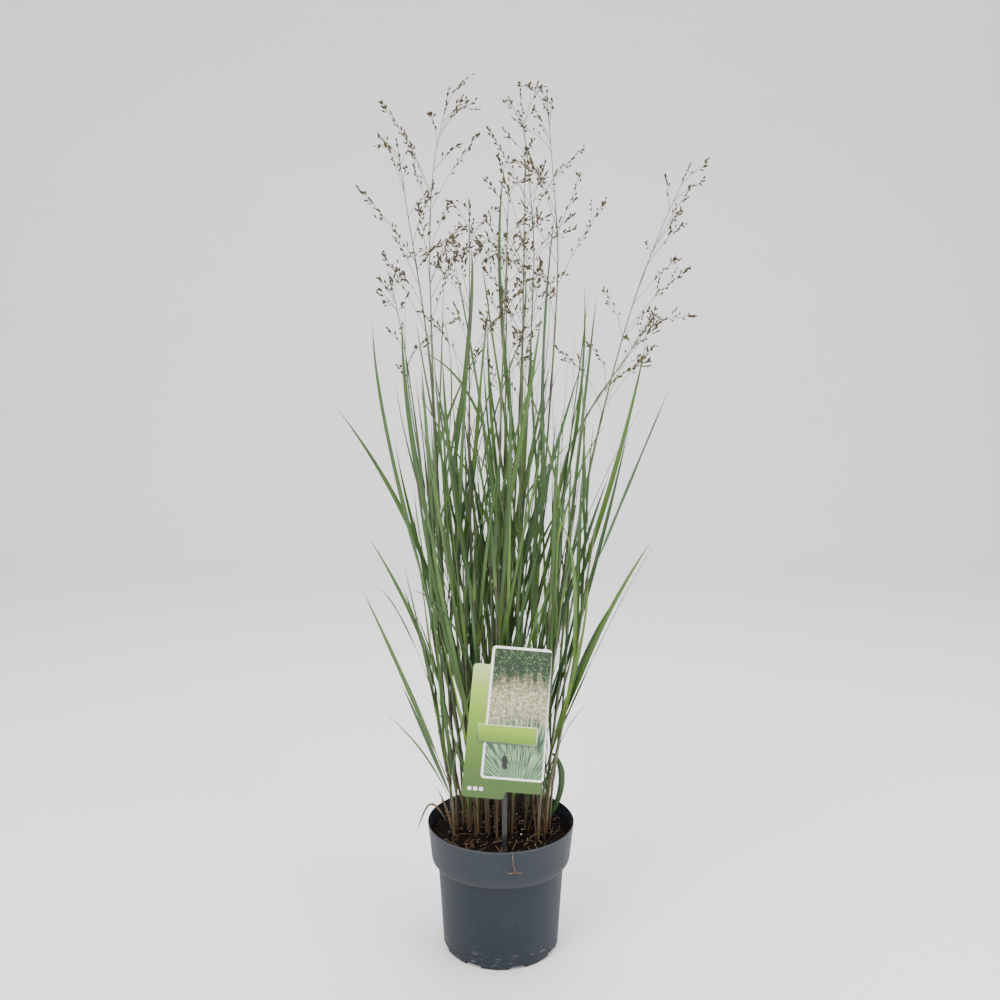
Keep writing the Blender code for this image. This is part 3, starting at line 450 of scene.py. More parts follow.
    def plant_chosen(self) -> None:
        """Plants the listed shoots, and moves a blade's tip in depth where it would meet another."""
        wanted = [(shoot, shoot.blades) for shoot in CHOSEN]
        for shoot, _ in wanted:
            shoot.blades = []
            if not self.add_culm(shoot):
                LOG.info("no room for the chosen shoot at %s", shoot.foot)
        for shoot, blades in wanted:
            for blade in blades:
                x, y, z = blade.tip
                for k in range(40):
                    blade.tip = (x, y + 0.004 * ((k + 1) // 2) * (-1) ** k, z)
                    if self.add_blade(shoot, blade):
                        break
                else:
                    LOG.info("no room for the chosen blade to %s", (x, y, z))

    def plant_fill(self) -> None:
        """Fills the clump between the chosen shoots."""
        ring = 0
        flowering = 0
        planted = 0
        while planted < FILL_SHOOTS and ring < 3000:
            ring += 1
            radius = CROWN_RADIUS * math.sqrt((ring * 0.618) % 1.0)
            angle = GOLDEN_ANGLE * ring + self.rng.uniform(-0.3, 0.3)
            x, y = radius * math.cos(angle), 0.9 * radius * math.sin(angle)
            lean = self.rng.uniform(0.6, 1.25)
            flowers = flowering < FILL_FLOWERING and radius < 0.6 * CROWN_RADIUS
            top = self.rng.uniform(0.80, 0.93) if flowers else self.rng.uniform(0.40, 0.58)
            end = (x * (1 + lean * top * 1.6), y * (1 + lean * top * 1.6), top)
            bow = self.rng.uniform(-0.012, 0.012)
            half = ((x + end[0]) / 2 + bow, (y + end[1]) / 2 - bow, 0.5 * (SOIL_LEVEL + top))
            shoot = Shoot((x, y), [half, end])
            if flowers:
                shoot.panicle_from = top - self.rng.uniform(0.19, 0.24)
                shoot.branch_count = 7
                shoot.branch_reach = self.rng.uniform(0.07, 0.11)
            if self.add_culm(shoot):
                planted += 1
                flowering += flowers

    def fill_blades(self, shoot: Shoot) -> None:
        """Grows a filling shoot's blades in two ranks up its culm, turned until they find room."""
        rank = self.rng.uniform(0, 2 * math.pi)
        top = shoot.line[-1].z
        highest = (shoot.panicle_from - 0.12 if shoot.panicle_from else top) - 0.02
        count = 4
        for k in range(count):
            collar = 0.19 + (highest - 0.19) * (k + self.rng.uniform(0.0, 0.5)) / count
            start, _ = at_height(shoot.line, collar)
            for _ in range(26):
                side = rank + math.pi * (k % 2) + self.rng.uniform(-0.9, 0.9)
                length = self.rng.uniform(0.20, 0.33)
                reach = self.rng.uniform(0.018, 0.085)
                away = Vector((start.x, start.y, 0.0)) * 0.45
                tip = start + Vector((math.cos(side) * reach, math.sin(side) * reach, 0.0)) + away
                tip.z = min(start.z + length * self.rng.uniform(0.90, 0.99), 0.80)
                blade = Blade(collar, tuple(tip), self.rng.uniform(0.0050, 0.0085),
                              self.rng.uniform(0.45, 0.75), self.rng.uniform(-95, 95))
                if self.add_blade(shoot, blade):
                    break

    def grow(self) -> None:
        """Lays out the whole clump."""
        self.plant_chosen()
        self.plant_fill()
        for shoot in self.shoots:
            if shoot.panicle_from:
                self.add_branches(shoot)
        for shoot in self.shoots[len(CHOSEN):]:
            self.fill_blades(shoot)


def culm_radius(shoot: Shoot, height: float) -> float:
    """A culm's radius at a height: sheathed at its foot, and drawn out to a thread in a panicle."""
    end = shoot.line[-1].z if shoot.line else 1.0
    share = max(0.0, min(1.0, (height - SOIL_LEVEL) / max(end - SOIL_LEVEL, 1e-6)))
    sheathed = FOOT_RADIUS + (CULM_RADIUS - FOOT_RADIUS) * share
    if not shoot.panicle_from or height < shoot.panicle_from:
        return sheathed
    thin = (height - shoot.panicle_from) / max(end - shoot.panicle_from, 1e-6)
    return sheathed + (RACHIS_TIP_RADIUS - sheathed) * min(1.0, 0.35 + 0.65 * thin)


# Shader maths

@dataclass(frozen=True)
class Sock:
    """A socket of a material's nodes, on which sums are written as expressions."""

    paint: "Paint"
    socket: bpy.types.NodeSocket

    def math(self, operation: str, *others: "Sock | float") -> "Sock":
        """A Math node on this value and the others."""
        made = self.paint.node("ShaderNodeMath", {"operation": operation}, dict(enumerate((self, *others))))
        return Sock(self.paint, made.outputs[0])

    def __add__(self, other: "Sock | float") -> "Sock":
        """The sum."""
        return self.math("ADD", other)

    def __radd__(self, other: float) -> "Sock":
        """The sum, with a number first."""
        return self.math("ADD", other)

    def __sub__(self, other: "Sock | float") -> "Sock":
        """The difference."""
        return self.math("SUBTRACT", other)

    def __rsub__(self, other: float) -> "Sock":
        """The difference, with a number first."""
        made = self.paint.node("ShaderNodeMath", {"operation": "SUBTRACT"}, {0: other, 1: self})
        return Sock(self.paint, made.outputs[0])

    def __mul__(self, other: "Sock | float") -> "Sock":
        """The product."""
        return self.math("MULTIPLY", other)

    def __rmul__(self, other: float) -> "Sock":
        """The product, with a number first."""
        return self.math("MULTIPLY", other)

    def __truediv__(self, other: "Sock | float") -> "Sock":
        """The quotient."""
        return self.math("DIVIDE", other)

    def between(self, low: "Sock | float", high: "Sock | float") -> "Sock":
        """A smooth step from 0 at low to 1 at high."""
        made = self.paint.node("ShaderNodeMapRange", {"interpolation_type": "SMOOTHSTEP"},
                               {0: self, 1: low, 2: high, 3: 0.0, 4: 1.0})
        return Sock(self.paint, made.outputs[0])


class Paint:
    """A material on a Principled shader, and the nodes that feed it."""

    def __init__(self, name: str, **constants: float) -> None:
        """Starts a material.

        Args:
            name: the material's name.
            constants: the shader's own values, by socket name with underscores for spaces.
        """
        self.material = bpy.data.materials.new(name)
        self.material.use_nodes = True
        self.tree = self.material.node_tree
        self.shader = self.tree.nodes["Principled BSDF"]
        for socket, value in constants.items():
            self.shader.inputs[socket.replace("_", " ").title().replace("Ior", "IOR")].default_value = value

    def node(self, kind: str, settings: dict | None = None, values: dict | None = None) -> bpy.types.Node:
        """Adds a node.

        Args:
            kind: the node's type.
            settings: its own settings, set first. A ramp takes its stops as "stops".
            values: the values or links of its input sockets, by name or number.

        Returns:
            The node.
        """
        made = self.tree.nodes.new(kind)
        for key, value in (settings or {}).items():
            if key == "stops":
                ramp = made.color_ramp
                while len(ramp.elements) < len(value):
                    ramp.elements.new(0.5)
                for element, (place, colour) in zip(ramp.elements, value):
                    element.position = place
                    element.color = (*colour, 1.0)
            else:
                setattr(made, key, value)
        for key, value in (values or {}).items():
            if isinstance(value, Sock):
                self.tree.links.new(value.socket, made.inputs[key])
            else:
                made.inputs[key].default_value = value
        return made

    def place(self) -> Sock:
        """Object coordinates, which are metres in the plant's frame."""
        return Sock(self, self.node("ShaderNodeTexCoord").outputs["Object"])

    def split(self, vector: Sock) -> tuple[Sock, Sock, Sock]:
        """The three parts of a vector."""
        made = self.node("ShaderNodeSeparateXYZ", None, {0: vector})
        return tuple(Sock(self, out) for out in made.outputs)

    def joined(self, x: Sock | float, y: Sock | float, z: Sock | float = 0.0) -> Sock:
        """A vector of three values."""
        return Sock(self, self.node("ShaderNodeCombineXYZ", None, {0: x, 1: y, 2: z}).outputs[0])

    def along_strip(self) -> tuple[Sock, Sock]:
        """The way across and the way along a blade or culm, both from 0 to 1."""
        made = self.node("ShaderNodeUVMap", {"uv_map": "strip"})
        across, along, _ = self.split(Sock(self, made.outputs[0]))
        return across, along

    def attribute(self, name: str) -> Sock:
        """A value stored on the mesh."""
        return Sock(self, self.node("ShaderNodeAttribute", {"attribute_name": name}).outputs["Fac"])

    def noise(self, at: Sock, scale: float, detail: float = 3.0, rough: float = 0.55) -> Sock:
        """Soft noise, from 0 to 1."""
        made = self.node("ShaderNodeTexNoise", None,
                         {"Vector": at, "Scale": scale, "Detail": detail, "Roughness": rough})
        return Sock(self, made.outputs[0])

    def cells(self, at: Sock, scale: float) -> Sock:
        """The distance to the middle of the nearest of scattered cells."""
        made = self.node("ShaderNodeTexVoronoi", None, {"Vector": at, "Scale": scale})
        return Sock(self, made.outputs["Distance"])

    def stretched(self, at: Sock, by: tuple[float, float, float]) -> Sock:
        """A place with its axes scaled, which stretches what is drawn on it."""
        made = self.node("ShaderNodeVectorMath", {"operation": "MULTIPLY"}, {0: at, 1: by})
        return Sock(self, made.outputs[0])

    def mixed(self, share: Sock | float, first: "Sock | tuple", second: "Sock | tuple") -> Sock:
        """A colour between two, by share."""
        def whole(colour: "Sock | tuple") -> "Sock | tuple":
            """A colour with its alpha."""
            return colour if isinstance(colour, Sock) else (*colour, 1.0)
        made = self.node("ShaderNodeMix", {"data_type": "RGBA"},
                         {0: share, 6: whole(first), 7: whole(second)})
        return Sock(self, made.outputs[2])

    def ramp(self, share: Sock, stops: list[tuple[float, tuple]]) -> Sock:
        """A colour from a ramp of stops."""
        return Sock(self, self.node("ShaderNodeValToRGB", {"stops": stops}, {0: share}).outputs[0])

    def finish(self, colour: Sock, roughness: "Sock | float", height: Sock | None = None,
               depth: float = 0.0002, strength: float = 0.6) -> bpy.types.Material:
        """Feeds the shader.

        Args:
            colour: the base colour.
            roughness: the roughness.
            height: the height that the bump follows, from 0 to 1.
            depth: the bump's depth in metres at a height of 1.
            strength: the bump's strength.

        Returns:
            The finished material.
        """
        self.tree.links.new(colour.socket, self.shader.inputs["Base Color"])
        if isinstance(roughness, Sock):
            self.tree.links.new(roughness.socket, self.shader.inputs["Roughness"])
        else:
            self.shader.inputs["Roughness"].default_value = roughness
        if height:
            bump = self.node("ShaderNodeBump", None,
                             {"Strength": strength, "Distance": depth, "Height": height})
            self.tree.links.new(bump.outputs[0], self.shader.inputs["Normal"])
        return self.material


# Finishes

@dataclass(frozen=True)
class GrassFinish:
    """Living grass: veined blades that brown from the tip, and waxy culms in straw-coloured sheaths."""

    blue_green: tuple = (0.018, 0.052, 0.020)
    mid_green: tuple = (0.032, 0.076, 0.014)
    fresh_green: tuple = (0.066, 0.140, 0.015)
    yellow_green: tuple = (0.170, 0.265, 0.026)
    straw: tuple = (0.140, 0.085, 0.036)
    brown: tuple = (0.030, 0.015, 0.009)
    purple: tuple = (0.040, 0.018, 0.018)
    rib_green: tuple = (0.150, 0.230, 0.060)
    waxy_dull: tuple = (0.048, 0.062, 0.026)
    waxy_green: tuple = (0.085, 0.120, 0.045)
    waxy_pale: tuple = (0.130, 0.160, 0.070)
    bark_dark: tuple = (0.034, 0.016, 0.014)
    bark_brown: tuple = (0.062, 0.036, 0.022)
    bark_olive: tuple = (0.085, 0.084, 0.034)
    bark_tan: tuple = (0.190, 0.130, 0.060)
    bark_pale: tuple = (0.280, 0.210, 0.110)
    red_foot: tuple = (0.170, 0.055, 0.024)
    sheath_dark: tuple = (0.026, 0.014, 0.010)

    def make(self) -> bpy.types.Material:
        """The material, which reads the strip map and the tint, age and culm values of a mesh."""
        paint = Paint("living_grass", specular_ior_level=0.45)
        across, along = paint.along_strip()
        tint, age, culm = paint.attribute("tint"), paint.attribute("age"), paint.attribute("culm")
        place = paint.place()
        _, _, height = paint.split(place)
        patch = paint.noise(place, 22.0, 2.0)
        shade = tint + (patch - 0.5) * 0.35
        green = paint.ramp(shade, [(0.0, self.blue_green), (0.42, self.mid_green),
                                   (0.78, self.fresh_green), (1.0, self.yellow_green)])
        strip = paint.joined(across * 34.0 + tint * 50.0, along * 3.0)
        veins = paint.noise(strip, 1.0, 2.0)
        green = paint.mixed((veins - 0.35) * 0.55, green, self.fresh_green)
        rib = 1.0 - (across - 0.5).math("ABSOLUTE").between(0.015, 0.085)
        green = paint.mixed(rib * 0.34, green, self.rib_green)
        paler = (1.0 - along.between(0.0, 0.16)) * (1.0 - culm)
        green = paint.mixed(paler * 0.45, green, self.yellow_green)
        ragged = along + (paint.noise(paint.joined(across * 3.0, along * 9.0, tint * 40.0), 2.2) - 0.5) * 0.22
        dying = ragged.between(1.02 - age * 0.55, 1.10 - age * 0.50) * (1.0 - culm)
        dead = paint.mixed(paint.noise(strip, 0.7, 3.0), self.straw, self.brown)
        leaf = paint.mixed(dying, green, dead)
        flecks = paint.noise(place, 420.0, 1.0).between(0.66, 0.74) * 0.5
        leaf = paint.mixed(flecks * age.between(0.1, 0.5), leaf, self.brown)

        waxy = paint.ramp(shade, [(0.0, self.purple), (0.35, self.waxy_dull),
                                  (0.7, self.waxy_green), (1.0, self.waxy_pale)])
        knots = paint.attribute("knot")
        waxy = paint.mixed(knots * 0.75, waxy, self.purple)
        low = 1.0 - (height + (patch - 0.5) * 0.12).between(0.17, 0.30)
        bark = paint.ramp(shade, [(0.0, self.bark_dark), (0.38, self.bark_brown), (0.60, self.bark_olive),
                                  (0.82, self.bark_tan), (1.0, self.bark_pale)])
        foot = 1.0 - (height + (veins - 0.5) * 0.02).between(0.143, 0.158)
        bark = paint.mixed(foot * tint.between(0.35, 0.65) * 0.8, bark, self.red_foot)
        sheathed = paint.mixed(veins.between(0.35, 0.65), bark, self.sheath_dark)
        waxy = paint.mixed(low * 0.9, waxy, sheathed)
        rough = 0.36 + veins * 0.16 + dying * 0.3
        relief = veins * (1.0 - rib) + rib * 0.6
        return paint.finish(paint.mixed(culm, leaf, waxy), rough, relief, 0.00025, 0.5)


@dataclass(frozen=True)
class PanicleFinish:
    """Fine branches and small plump spikelets, green turning tan and purple."""

    stalk: tuple = (0.105, 0.115, 0.062)
    husk_green: tuple = (0.036, 0.040, 0.013)
    husk_tan: tuple = (0.085, 0.052, 0.020)
    husk_purple: tuple = (0.026, 0.013, 0.010)
    husk_straw: tuple = (0.160, 0.110, 0.050)
    stalk_brown: tuple = (0.060, 0.052, 0.030)

    def make(self) -> bpy.types.Material:
        """The material, which reads the tint and husk values of a mesh."""
        paint = Paint("panicle", specular_ior_level=0.3)
        tint, husk = paint.attribute("tint"), paint.attribute("husk")
        across, along = paint.along_strip()
        fine = paint.noise(paint.place(), 900.0, 2.0)
        body = paint.ramp(tint + (fine - 0.5) * 0.3, [(0.0, self.husk_purple), (0.4, self.husk_green),
                                                      (0.75, self.husk_tan), (1.0, self.husk_straw)])
        ribs = (across * 18.0).math("SINE") * 0.5 + 0.5
        body = paint.mixed(ribs * 0.28, body, self.husk_tan)
        body = paint.mixed(along.between(0.75, 1.0) * 0.7, body, self.husk_purple)
        stalk = paint.mixed(fine, self.stalk, self.stalk_brown)
        return paint.finish(paint.mixed(husk, stalk, body), 0.58 + fine * 0.15, ribs * husk, 0.00012, 0.5)


@dataclass(frozen=True)
class PotPlastic:
    """Dark blue-grey nursery plastic: dusty, scuffed near its base and smeared with dried soil, with a
    painted highlight on its collar and lip.
    """

    plastic: tuple = (0.0110, 0.0160, 0.0235)
    dust: tuple = (0.090, 0.094, 0.098)
    soil: tuple = (0.060, 0.040, 0.026)
    clouded: tuple = (0.0155, 0.0210, 0.0290)
    # Painted highlight: a lighter blue-grey for the collar, as if it were lit from above.
    collar: tuple = (0.0230, 0.0285, 0.0360)
    # Painted highlight along the rolled lip.
    lip_highlight: tuple = (0.075, 0.085, 0.095)
    scuff: tuple = (0.240, 0.235, 0.220)

    def make(self) -> bpy.types.Material:
        """The material, on Object coordinates."""
        paint = Paint("nursery_plastic", specular_ior_level=0.22)
        place = paint.place()
        _, _, height = paint.split(place)
        cloud = paint.noise(place, 26.0, 4.0, 0.6)
        grain = paint.noise(place, 1400.0, 2.0)
        flow = paint.noise(paint.stretched(place, (1.0, 1.0, 0.12)), 160.0, 3.0)
        colour = paint.mixed(cloud, self.plastic, self.clouded)
        step = POT_HEIGHT - COLLAR_DEPTH
        # Painted highlight: the collar above the step is made lighter, as if it were lit from above.
        collar_highlight_mask = height.between(step - 0.001, step + 0.004)
        colour = paint.mixed(collar_highlight_mask * 0.8, colour, self.collar)
        streaks = flow.between(0.52, 0.72) * cloud.between(0.40, 0.66)
        colour = paint.mixed(streaks * 0.12, colour, self.dust)
        settled = height.between(0.094, 0.104) * (1.0 - height.between(0.106, 0.117))
        colour = paint.mixed(settled * cloud * 0.18, colour, self.dust)
        # Painted highlight: a lighter band along the rolled lip.
        lip = height.between(0.1462, 0.1485)
        colour = paint.mixed(lip * 0.30, colour, self.lip_highlight)
        low = 1.0 - height.between(0.004, 0.034)
        scuffs = paint.noise(paint.stretched(place, (0.35, 0.35, 2.6)), 260.0, 3.0, 0.7)
        marks = scuffs.between(0.60, 0.70) * low
        colour = paint.mixed(marks * 0.75, colour, self.scuff)
        fleck = (1.0 - paint.cells(place, 170.0).between(0.06, 0.15)) * cloud.between(0.50, 0.62)
        colour = paint.mixed(fleck * 0.55, colour, self.dust)
        smear = paint.noise(paint.stretched(place, (1.0, 1.0, 1.8)), 38.0, 5.0, 0.7)
        dirt = smear.between(0.60, 0.72) * (low * 0.7 + height.between(0.118, 0.147) * 0.55)
        colour = paint.mixed(dirt, colour, self.soil)
        rough = 0.46 + cloud * 0.16 + dirt * 0.3 + streaks * 0.15
        relief = grain * 0.4 + marks * 0.5 + dirt * 0.9
        return paint.finish(colour, rough, relief, 0.00014, 0.45)


@dataclass(frozen=True)
class PeatFinish:
    """Dark moist peat with paler fibres."""

    dark: tuple = (0.0022, 0.0016, 0.0013)
    mid: tuple = (0.0085, 0.0058, 0.0042)
    pale: tuple = (0.024, 0.015, 0.010)
    fibre: tuple = (0.070, 0.040, 0.022)

    def make(self) -> bpy.types.Material:
        """The material, on Object coordinates."""
        paint = Paint("peat_soil", specular_ior_level=0.05)
        place = paint.place()
        clods = paint.noise(place, 210.0, 5.0, 0.7)
        fine = paint.noise(place, 900.0, 3.0, 0.7)
        colour = paint.ramp(clods, [(0.30, self.dark), (0.58, self.mid), (0.80, self.pale)])
        threads = paint.noise(paint.stretched(place, (1.0, 0.18, 1.0)), 620.0, 2.0).between(0.64, 0.70)
        colour = paint.mixed(threads * 0.6, colour, self.fibre)
        return paint.finish(colour, 0.84 + fine * 0.12, clods * 0.7 + fine * 0.3, 0.0014, 0.9)


@dataclass(frozen=True)
class CrumbFinish:
    """Mineral crumbs: chalky, slightly soiled grains."""

    name: str
    clean: tuple
    soiled: tuple

    def make(self) -> bpy.types.Material:
        """The material, on Object coordinates."""
        paint = Paint(self.name, specular_ior_level=0.25)
        place = paint.place()
        spots = paint.noise(place, 700.0, 3.0)
        colour = paint.mixed(spots.between(0.42, 0.66), self.clean, self.soiled)
        return paint.finish(colour, 0.82 + spots * 0.1, spots, 0.0003, 0.7)


@dataclass(frozen=True)
class StakePlastic:
    """Black moulded plastic with a faint sheen and dusty flats."""

    plastic: tuple = (0.010, 0.011, 0.012)
    dust: tuple = (0.060, 0.058, 0.052)

    def make(self) -> bpy.types.Material:
        """The material, on Object coordinates."""
        paint = Paint("black_stake_plastic", specular_ior_level=0.5)
        place = paint.place()
        cloud = paint.noise(place, 120.0, 3.0)
        fine = paint.noise(paint.stretched(place, (1.0, 1.0, 0.1)), 900.0, 2.0)
        colour = paint.mixed(cloud.between(0.45, 0.75) * 0.5, self.plastic, self.dust)
        return paint.finish(colour, 0.34 + cloud * 0.22, fine, 0.00008, 0.4)


@dataclass(frozen=True)
class LabelPrint:
    """A printed card of a made-up design: a green ground, a bordered grass panel and an empty plaque."""

    deep: tuple = (0.050, 0.105, 0.018)
    ground_low: tuple = (0.085, 0.170, 0.020)
    ground_mid: tuple = (0.170, 0.320, 0.022)
    ground_high: tuple = (0.300, 0.450, 0.060)
    pale: tuple = (0.480, 0.590, 0.280)
    paper: tuple = (0.860, 0.870, 0.840)
    back: tuple = (0.70, 0.72, 0.66)
    hedge: tuple = (0.012, 0.030, 0.012)
    hedge_leaf: tuple = (0.120, 0.220, 0.070)
    hedge_light: tuple = (0.520, 0.600, 0.420)
    grass_dark: tuple = (0.022, 0.072, 0.040)
    grass_light: tuple = (0.240, 0.390, 0.200)
    plume: tuple = (0.660, 0.560, 0.380)
    plume_shade: tuple = (0.230, 0.230, 0.120)
    shade: tuple = (0.030, 0.040, 0.030)
    rim_low: tuple = (0.060, 0.075, 0.055)
    rim_high: tuple = (0.560, 0.600, 0.420)
    plaque_low: tuple = (0.110, 0.230, 0.018)
    plaque_high: tuple = (0.230, 0.400, 0.026)
    dust: tuple = (0.24, 0.19, 0.13)
    border: float = 0.0025
    plaque_border: float = 0.0011
    plaque_box: tuple = (-0.0325, 0.0215, 0.0335, 0.0425)
    grass_root: tuple = (0.018, -0.028)
    chips: int = 3
    chip_left: float = -0.0385
    chip_bottom: float = -0.0345
    chip_size: float = 0.0045
    chip_pitch: float = 0.0065
    edge: float = 0.00018

    def panel(self, x: Sock, y: Sock, box: tuple[float, float, float, float], corner: float) -> Sock:
        """How far inside a rounded box a place lies, in metres and above 0 inside.

        Args:
            x: the place's way across the card.
            y: the place's way up the card.
            box: the box's left, bottom, right and top.
            corner: the radius of its corners.

        Returns:
            The distance in from the box's edge, where its corners are rounded.
        """
        def past(at: Sock, low: float, high: float) -> Sock:
            """How far a place is past the part of a side that its corners leave straight."""
            off_middle = (at - (low + high) / 2).math("ABSOLUTE")
            return (off_middle - ((high - low) / 2 - corner)).math("MAXIMUM", 0.0)

        left, bottom, right, top = box
        out_x, out_y = past(x, left, right), past(y, bottom, top)
        return corner - (out_x * out_x + out_y * out_y).math("SQRT")

    def edged(self, distance: Sock, border: float = 0.0) -> Sock:
        """A sharp step from 0 to 1 at a distance in from a box's edge."""
        return distance.between(border - self.edge, border + self.edge)

    def make(self) -> bpy.types.Material:
        """The material, on Object coordinates turned into the card's own plane."""
        paint = Paint("label_print", specular_ior_level=0.45)
        x, depth, z = paint.split(paint.place())
        x, z = x - LABEL_X, z - STUD_HEIGHT
        cos, sin = math.cos(CARD_TILT), math.sin(CARD_TILT)
        u = x * cos - z * sin
        v = x * sin + z * cos
        height = v.between(-0.040, 0.135)
        ground = paint.ramp(height, [(0.0, self.deep), (0.22, self.ground_low), (0.55, self.ground_mid),
                                     (0.80, self.ground_high), (1.0, self.pale)])

        far_u, far_v = u - self.grass_root[0], v - self.grass_root[1]
        reach = (far_u * far_u + far_v * far_v).math("SQRT")
        bearing = far_u.math("ARCTAN2", far_v + 0.004)
        arching = bearing + far_u * reach * 34.0
        flat = paint.joined(arching * 3.4, reach * 5.0)
        blades = paint.noise(flat, 9.0, 3.0, 0.6)
        crown = 1.0 - (reach + (paint.noise(flat, 5.0) - 0.5) * 0.05).between(0.105, 0.135)
        haze = paint.noise(paint.joined(u, v), 60.0, 3.0)
        dabs = paint.cells(paint.joined(u, v * 0.7), 520.0)
        leaves = paint.noise(paint.joined(u, v), 230.0, 4.0, 0.75) * 0.62 + (1.0 - dabs) * 0.30
        scene = paint.mixed(leaves.between(0.44, 0.66), self.hedge, self.hedge_leaf)
        scene = paint.mixed(leaves.between(0.66, 0.74), scene, self.hedge_light)
        stroke = paint.mixed(blades.between(0.42, 0.60), self.grass_dark, self.grass_light)
        tall = (reach + (leaves - 0.5) * 0.030 + (blades - 0.5) * 0.040).between(0.062, 0.092)
        seeds = paint.mixed(leaves.between(0.40, 0.60), self.plume_shade, self.plume)
        stroke = paint.mixed(tall, stroke, seeds)
        scene = paint.mixed(crown, scene, stroke)

        middle = 0.0099
        wide = (u - middle) / (1.0 - v * 0.33)
        picture = self.panel(wide + middle, v,
                             (PICTURE_LEFT - 0.0008, PICTURE_BOTTOM, PICTURE_RIGHT, PICTURE_TOP), CARD_CORNER)
        colour = paint.mixed(self.edged(picture), ground, self.paper)
        colour = paint.mixed(self.edged(picture, self.border), colour, scene)
        plaque = self.panel(u, v, self.plaque_box, 0.0014)
        shadow = self.panel(u - 0.001, v + 0.0012, self.plaque_box, 0.0030)
        colour = paint.mixed(shadow.between(-0.0016, 0.0010) * 0.6, colour, self.shade)
        rim = paint.mixed((v + u * 0.2).between(0.020, 0.042), self.rim_low, self.rim_high)
        colour = paint.mixed(self.edged(plaque), colour, rim)
        field_green = paint.mixed(v.between(0.020, 0.042), self.plaque_low, self.plaque_high)
        colour = paint.mixed(self.edged(plaque, self.plaque_border), colour, field_green)
        for number in range(self.chips):
            left = self.chip_left + number * self.chip_pitch
            box = (left, self.chip_bottom, left + self.chip_size, self.chip_bottom + self.chip_size)
            colour = paint.mixed(self.edged(self.panel(u, v, box, 0.0012)) * 0.8, colour, self.paper)
        behind = depth.between(LABEL_Y + 0.0002, LABEL_Y + 0.0003)
        colour = paint.mixed(behind, colour, self.back)
        dust = paint.noise(paint.place(), 340.0, 3.0).between(0.62, 0.74)
        colour = paint.mixed(dust * 0.25, colour, self.dust)
        return paint.finish(colour, 0.30 + haze * 0.12 + dust * 0.3, haze, 0.00005, 0.3)


# Modelling helpers

class Bench:
    """Small steps of hand modelling that the pieces share."""

    @staticmethod
    def clear() -> None:
        """Leaves edit mode and selects nothing."""
        if bpy.context.object and bpy.context.object.mode != "OBJECT":
            bpy.ops.object.mode_set(mode="OBJECT")
        bpy.ops.object.select_all(action="DESELECT")

    @staticmethod
    def edit(mode: str) -> bmesh.types.BMesh:
        """Enters edit mode on the active piece, with nothing selected.

        Args:
            mode: the kind of element that is selected: VERT, EDGE or FACE.

        Returns:
            The piece's edit mesh.
        """
        bpy.ops.object.mode_set(mode="EDIT")
        bpy.ops.mesh.select_mode(type=mode)
        bpy.ops.mesh.select_all(action="DESELECT")
        return bmesh.from_edit_mesh(bpy.context.object.data)

    @staticmethod
    def take_master(name: str) -> "Master":
        """Turns the active piece into a master to copy, and removes it from the scene."""
        bpy.ops.object.mode_set(mode="OBJECT")
        obj = bpy.context.object
        mesh = obj.data
        places = np.array([tuple(v.co) for v in mesh.vertices])
        faces = [tuple(p.vertices) for p in mesh.polygons]
        bpy.data.objects.remove(obj, do_unlink=True)
        LOG.info("%s master: %d faces", name, len(faces))
        return Master(places, faces)


@dataclass
class Master:
    """A shape that is modelled once and copied many times."""

    places: np.ndarray
    faces: list[tuple[int, ...]]


@dataclass
class Pile:
    """Copies of masters that are gathered into one mesh, with the values that its finish reads."""

    places: list[np.ndarray] = field(default_factory=list)
    faces: list[tuple[int, ...]] = field(default_factory=list)
    strips: list[np.ndarray] = field(default_factory=list)
    values: dict[str, list[np.ndarray]] = field(default_factory=dict)
    count: int = 0

    def add(self, places: np.ndarray, faces: list[tuple[int, ...]], strip: np.ndarray,
            **values: float | np.ndarray) -> None:
        """Adds a copy.

        Args:
            places: where its corners are.
            faces: its faces, by corner.
            strip: each corner's way across and along the copy.
            values: the values stored on it, by name.
        """
        self.places.append(places)
        self.faces.extend(tuple(c + self.count for c in face) for face in faces)
        self.strips.append(strip)
        for name, value in values.items():
            self.values.setdefault(name, []).append(np.broadcast_to(value, len(places)).astype(float))
        self.count += len(places)

    def piece(self, name: str, material: bpy.types.Material, smooth: float = 50.0) -> bpy.types.Object:
        """The gathered mesh as one piece.

        Args:
            name: the piece's name.
            material: its finish.
            smooth: the angle in degrees up to which its faces are shaded as one.

        Returns:
            The piece, riding on the plant's body.
        """
        mesh = bpy.data.meshes.new(name)
        mesh.from_pydata(np.concatenate(self.places).tolist(), [], self.faces)
        strips = np.concatenate(self.strips)
        corners = np.empty(len(mesh.loops), int)
        mesh.loops.foreach_get("vertex_index", corners)
        layer = mesh.uv_layers.new(name="strip")
        layer.data.foreach_set("uv", strips[corners].ravel().astype(np.float32))
        for key, parts in self.values.items():
            stored = mesh.attributes.new(key, "FLOAT", "POINT")
            stored.data.foreach_set("value", np.concatenate(parts).astype(np.float32))
        mesh.materials.append(material)
        mesh.shade_smooth()
        mesh.set_sharp_from_angle(angle=math.radians(smooth))
        obj = bpy.data.objects.new(name, mesh)
        bpy.context.scene.collection.objects.link(obj)
        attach(obj, "root")
        LOG.info("%s: %d faces", name, len(self.faces))
        return obj


# Grass in detail

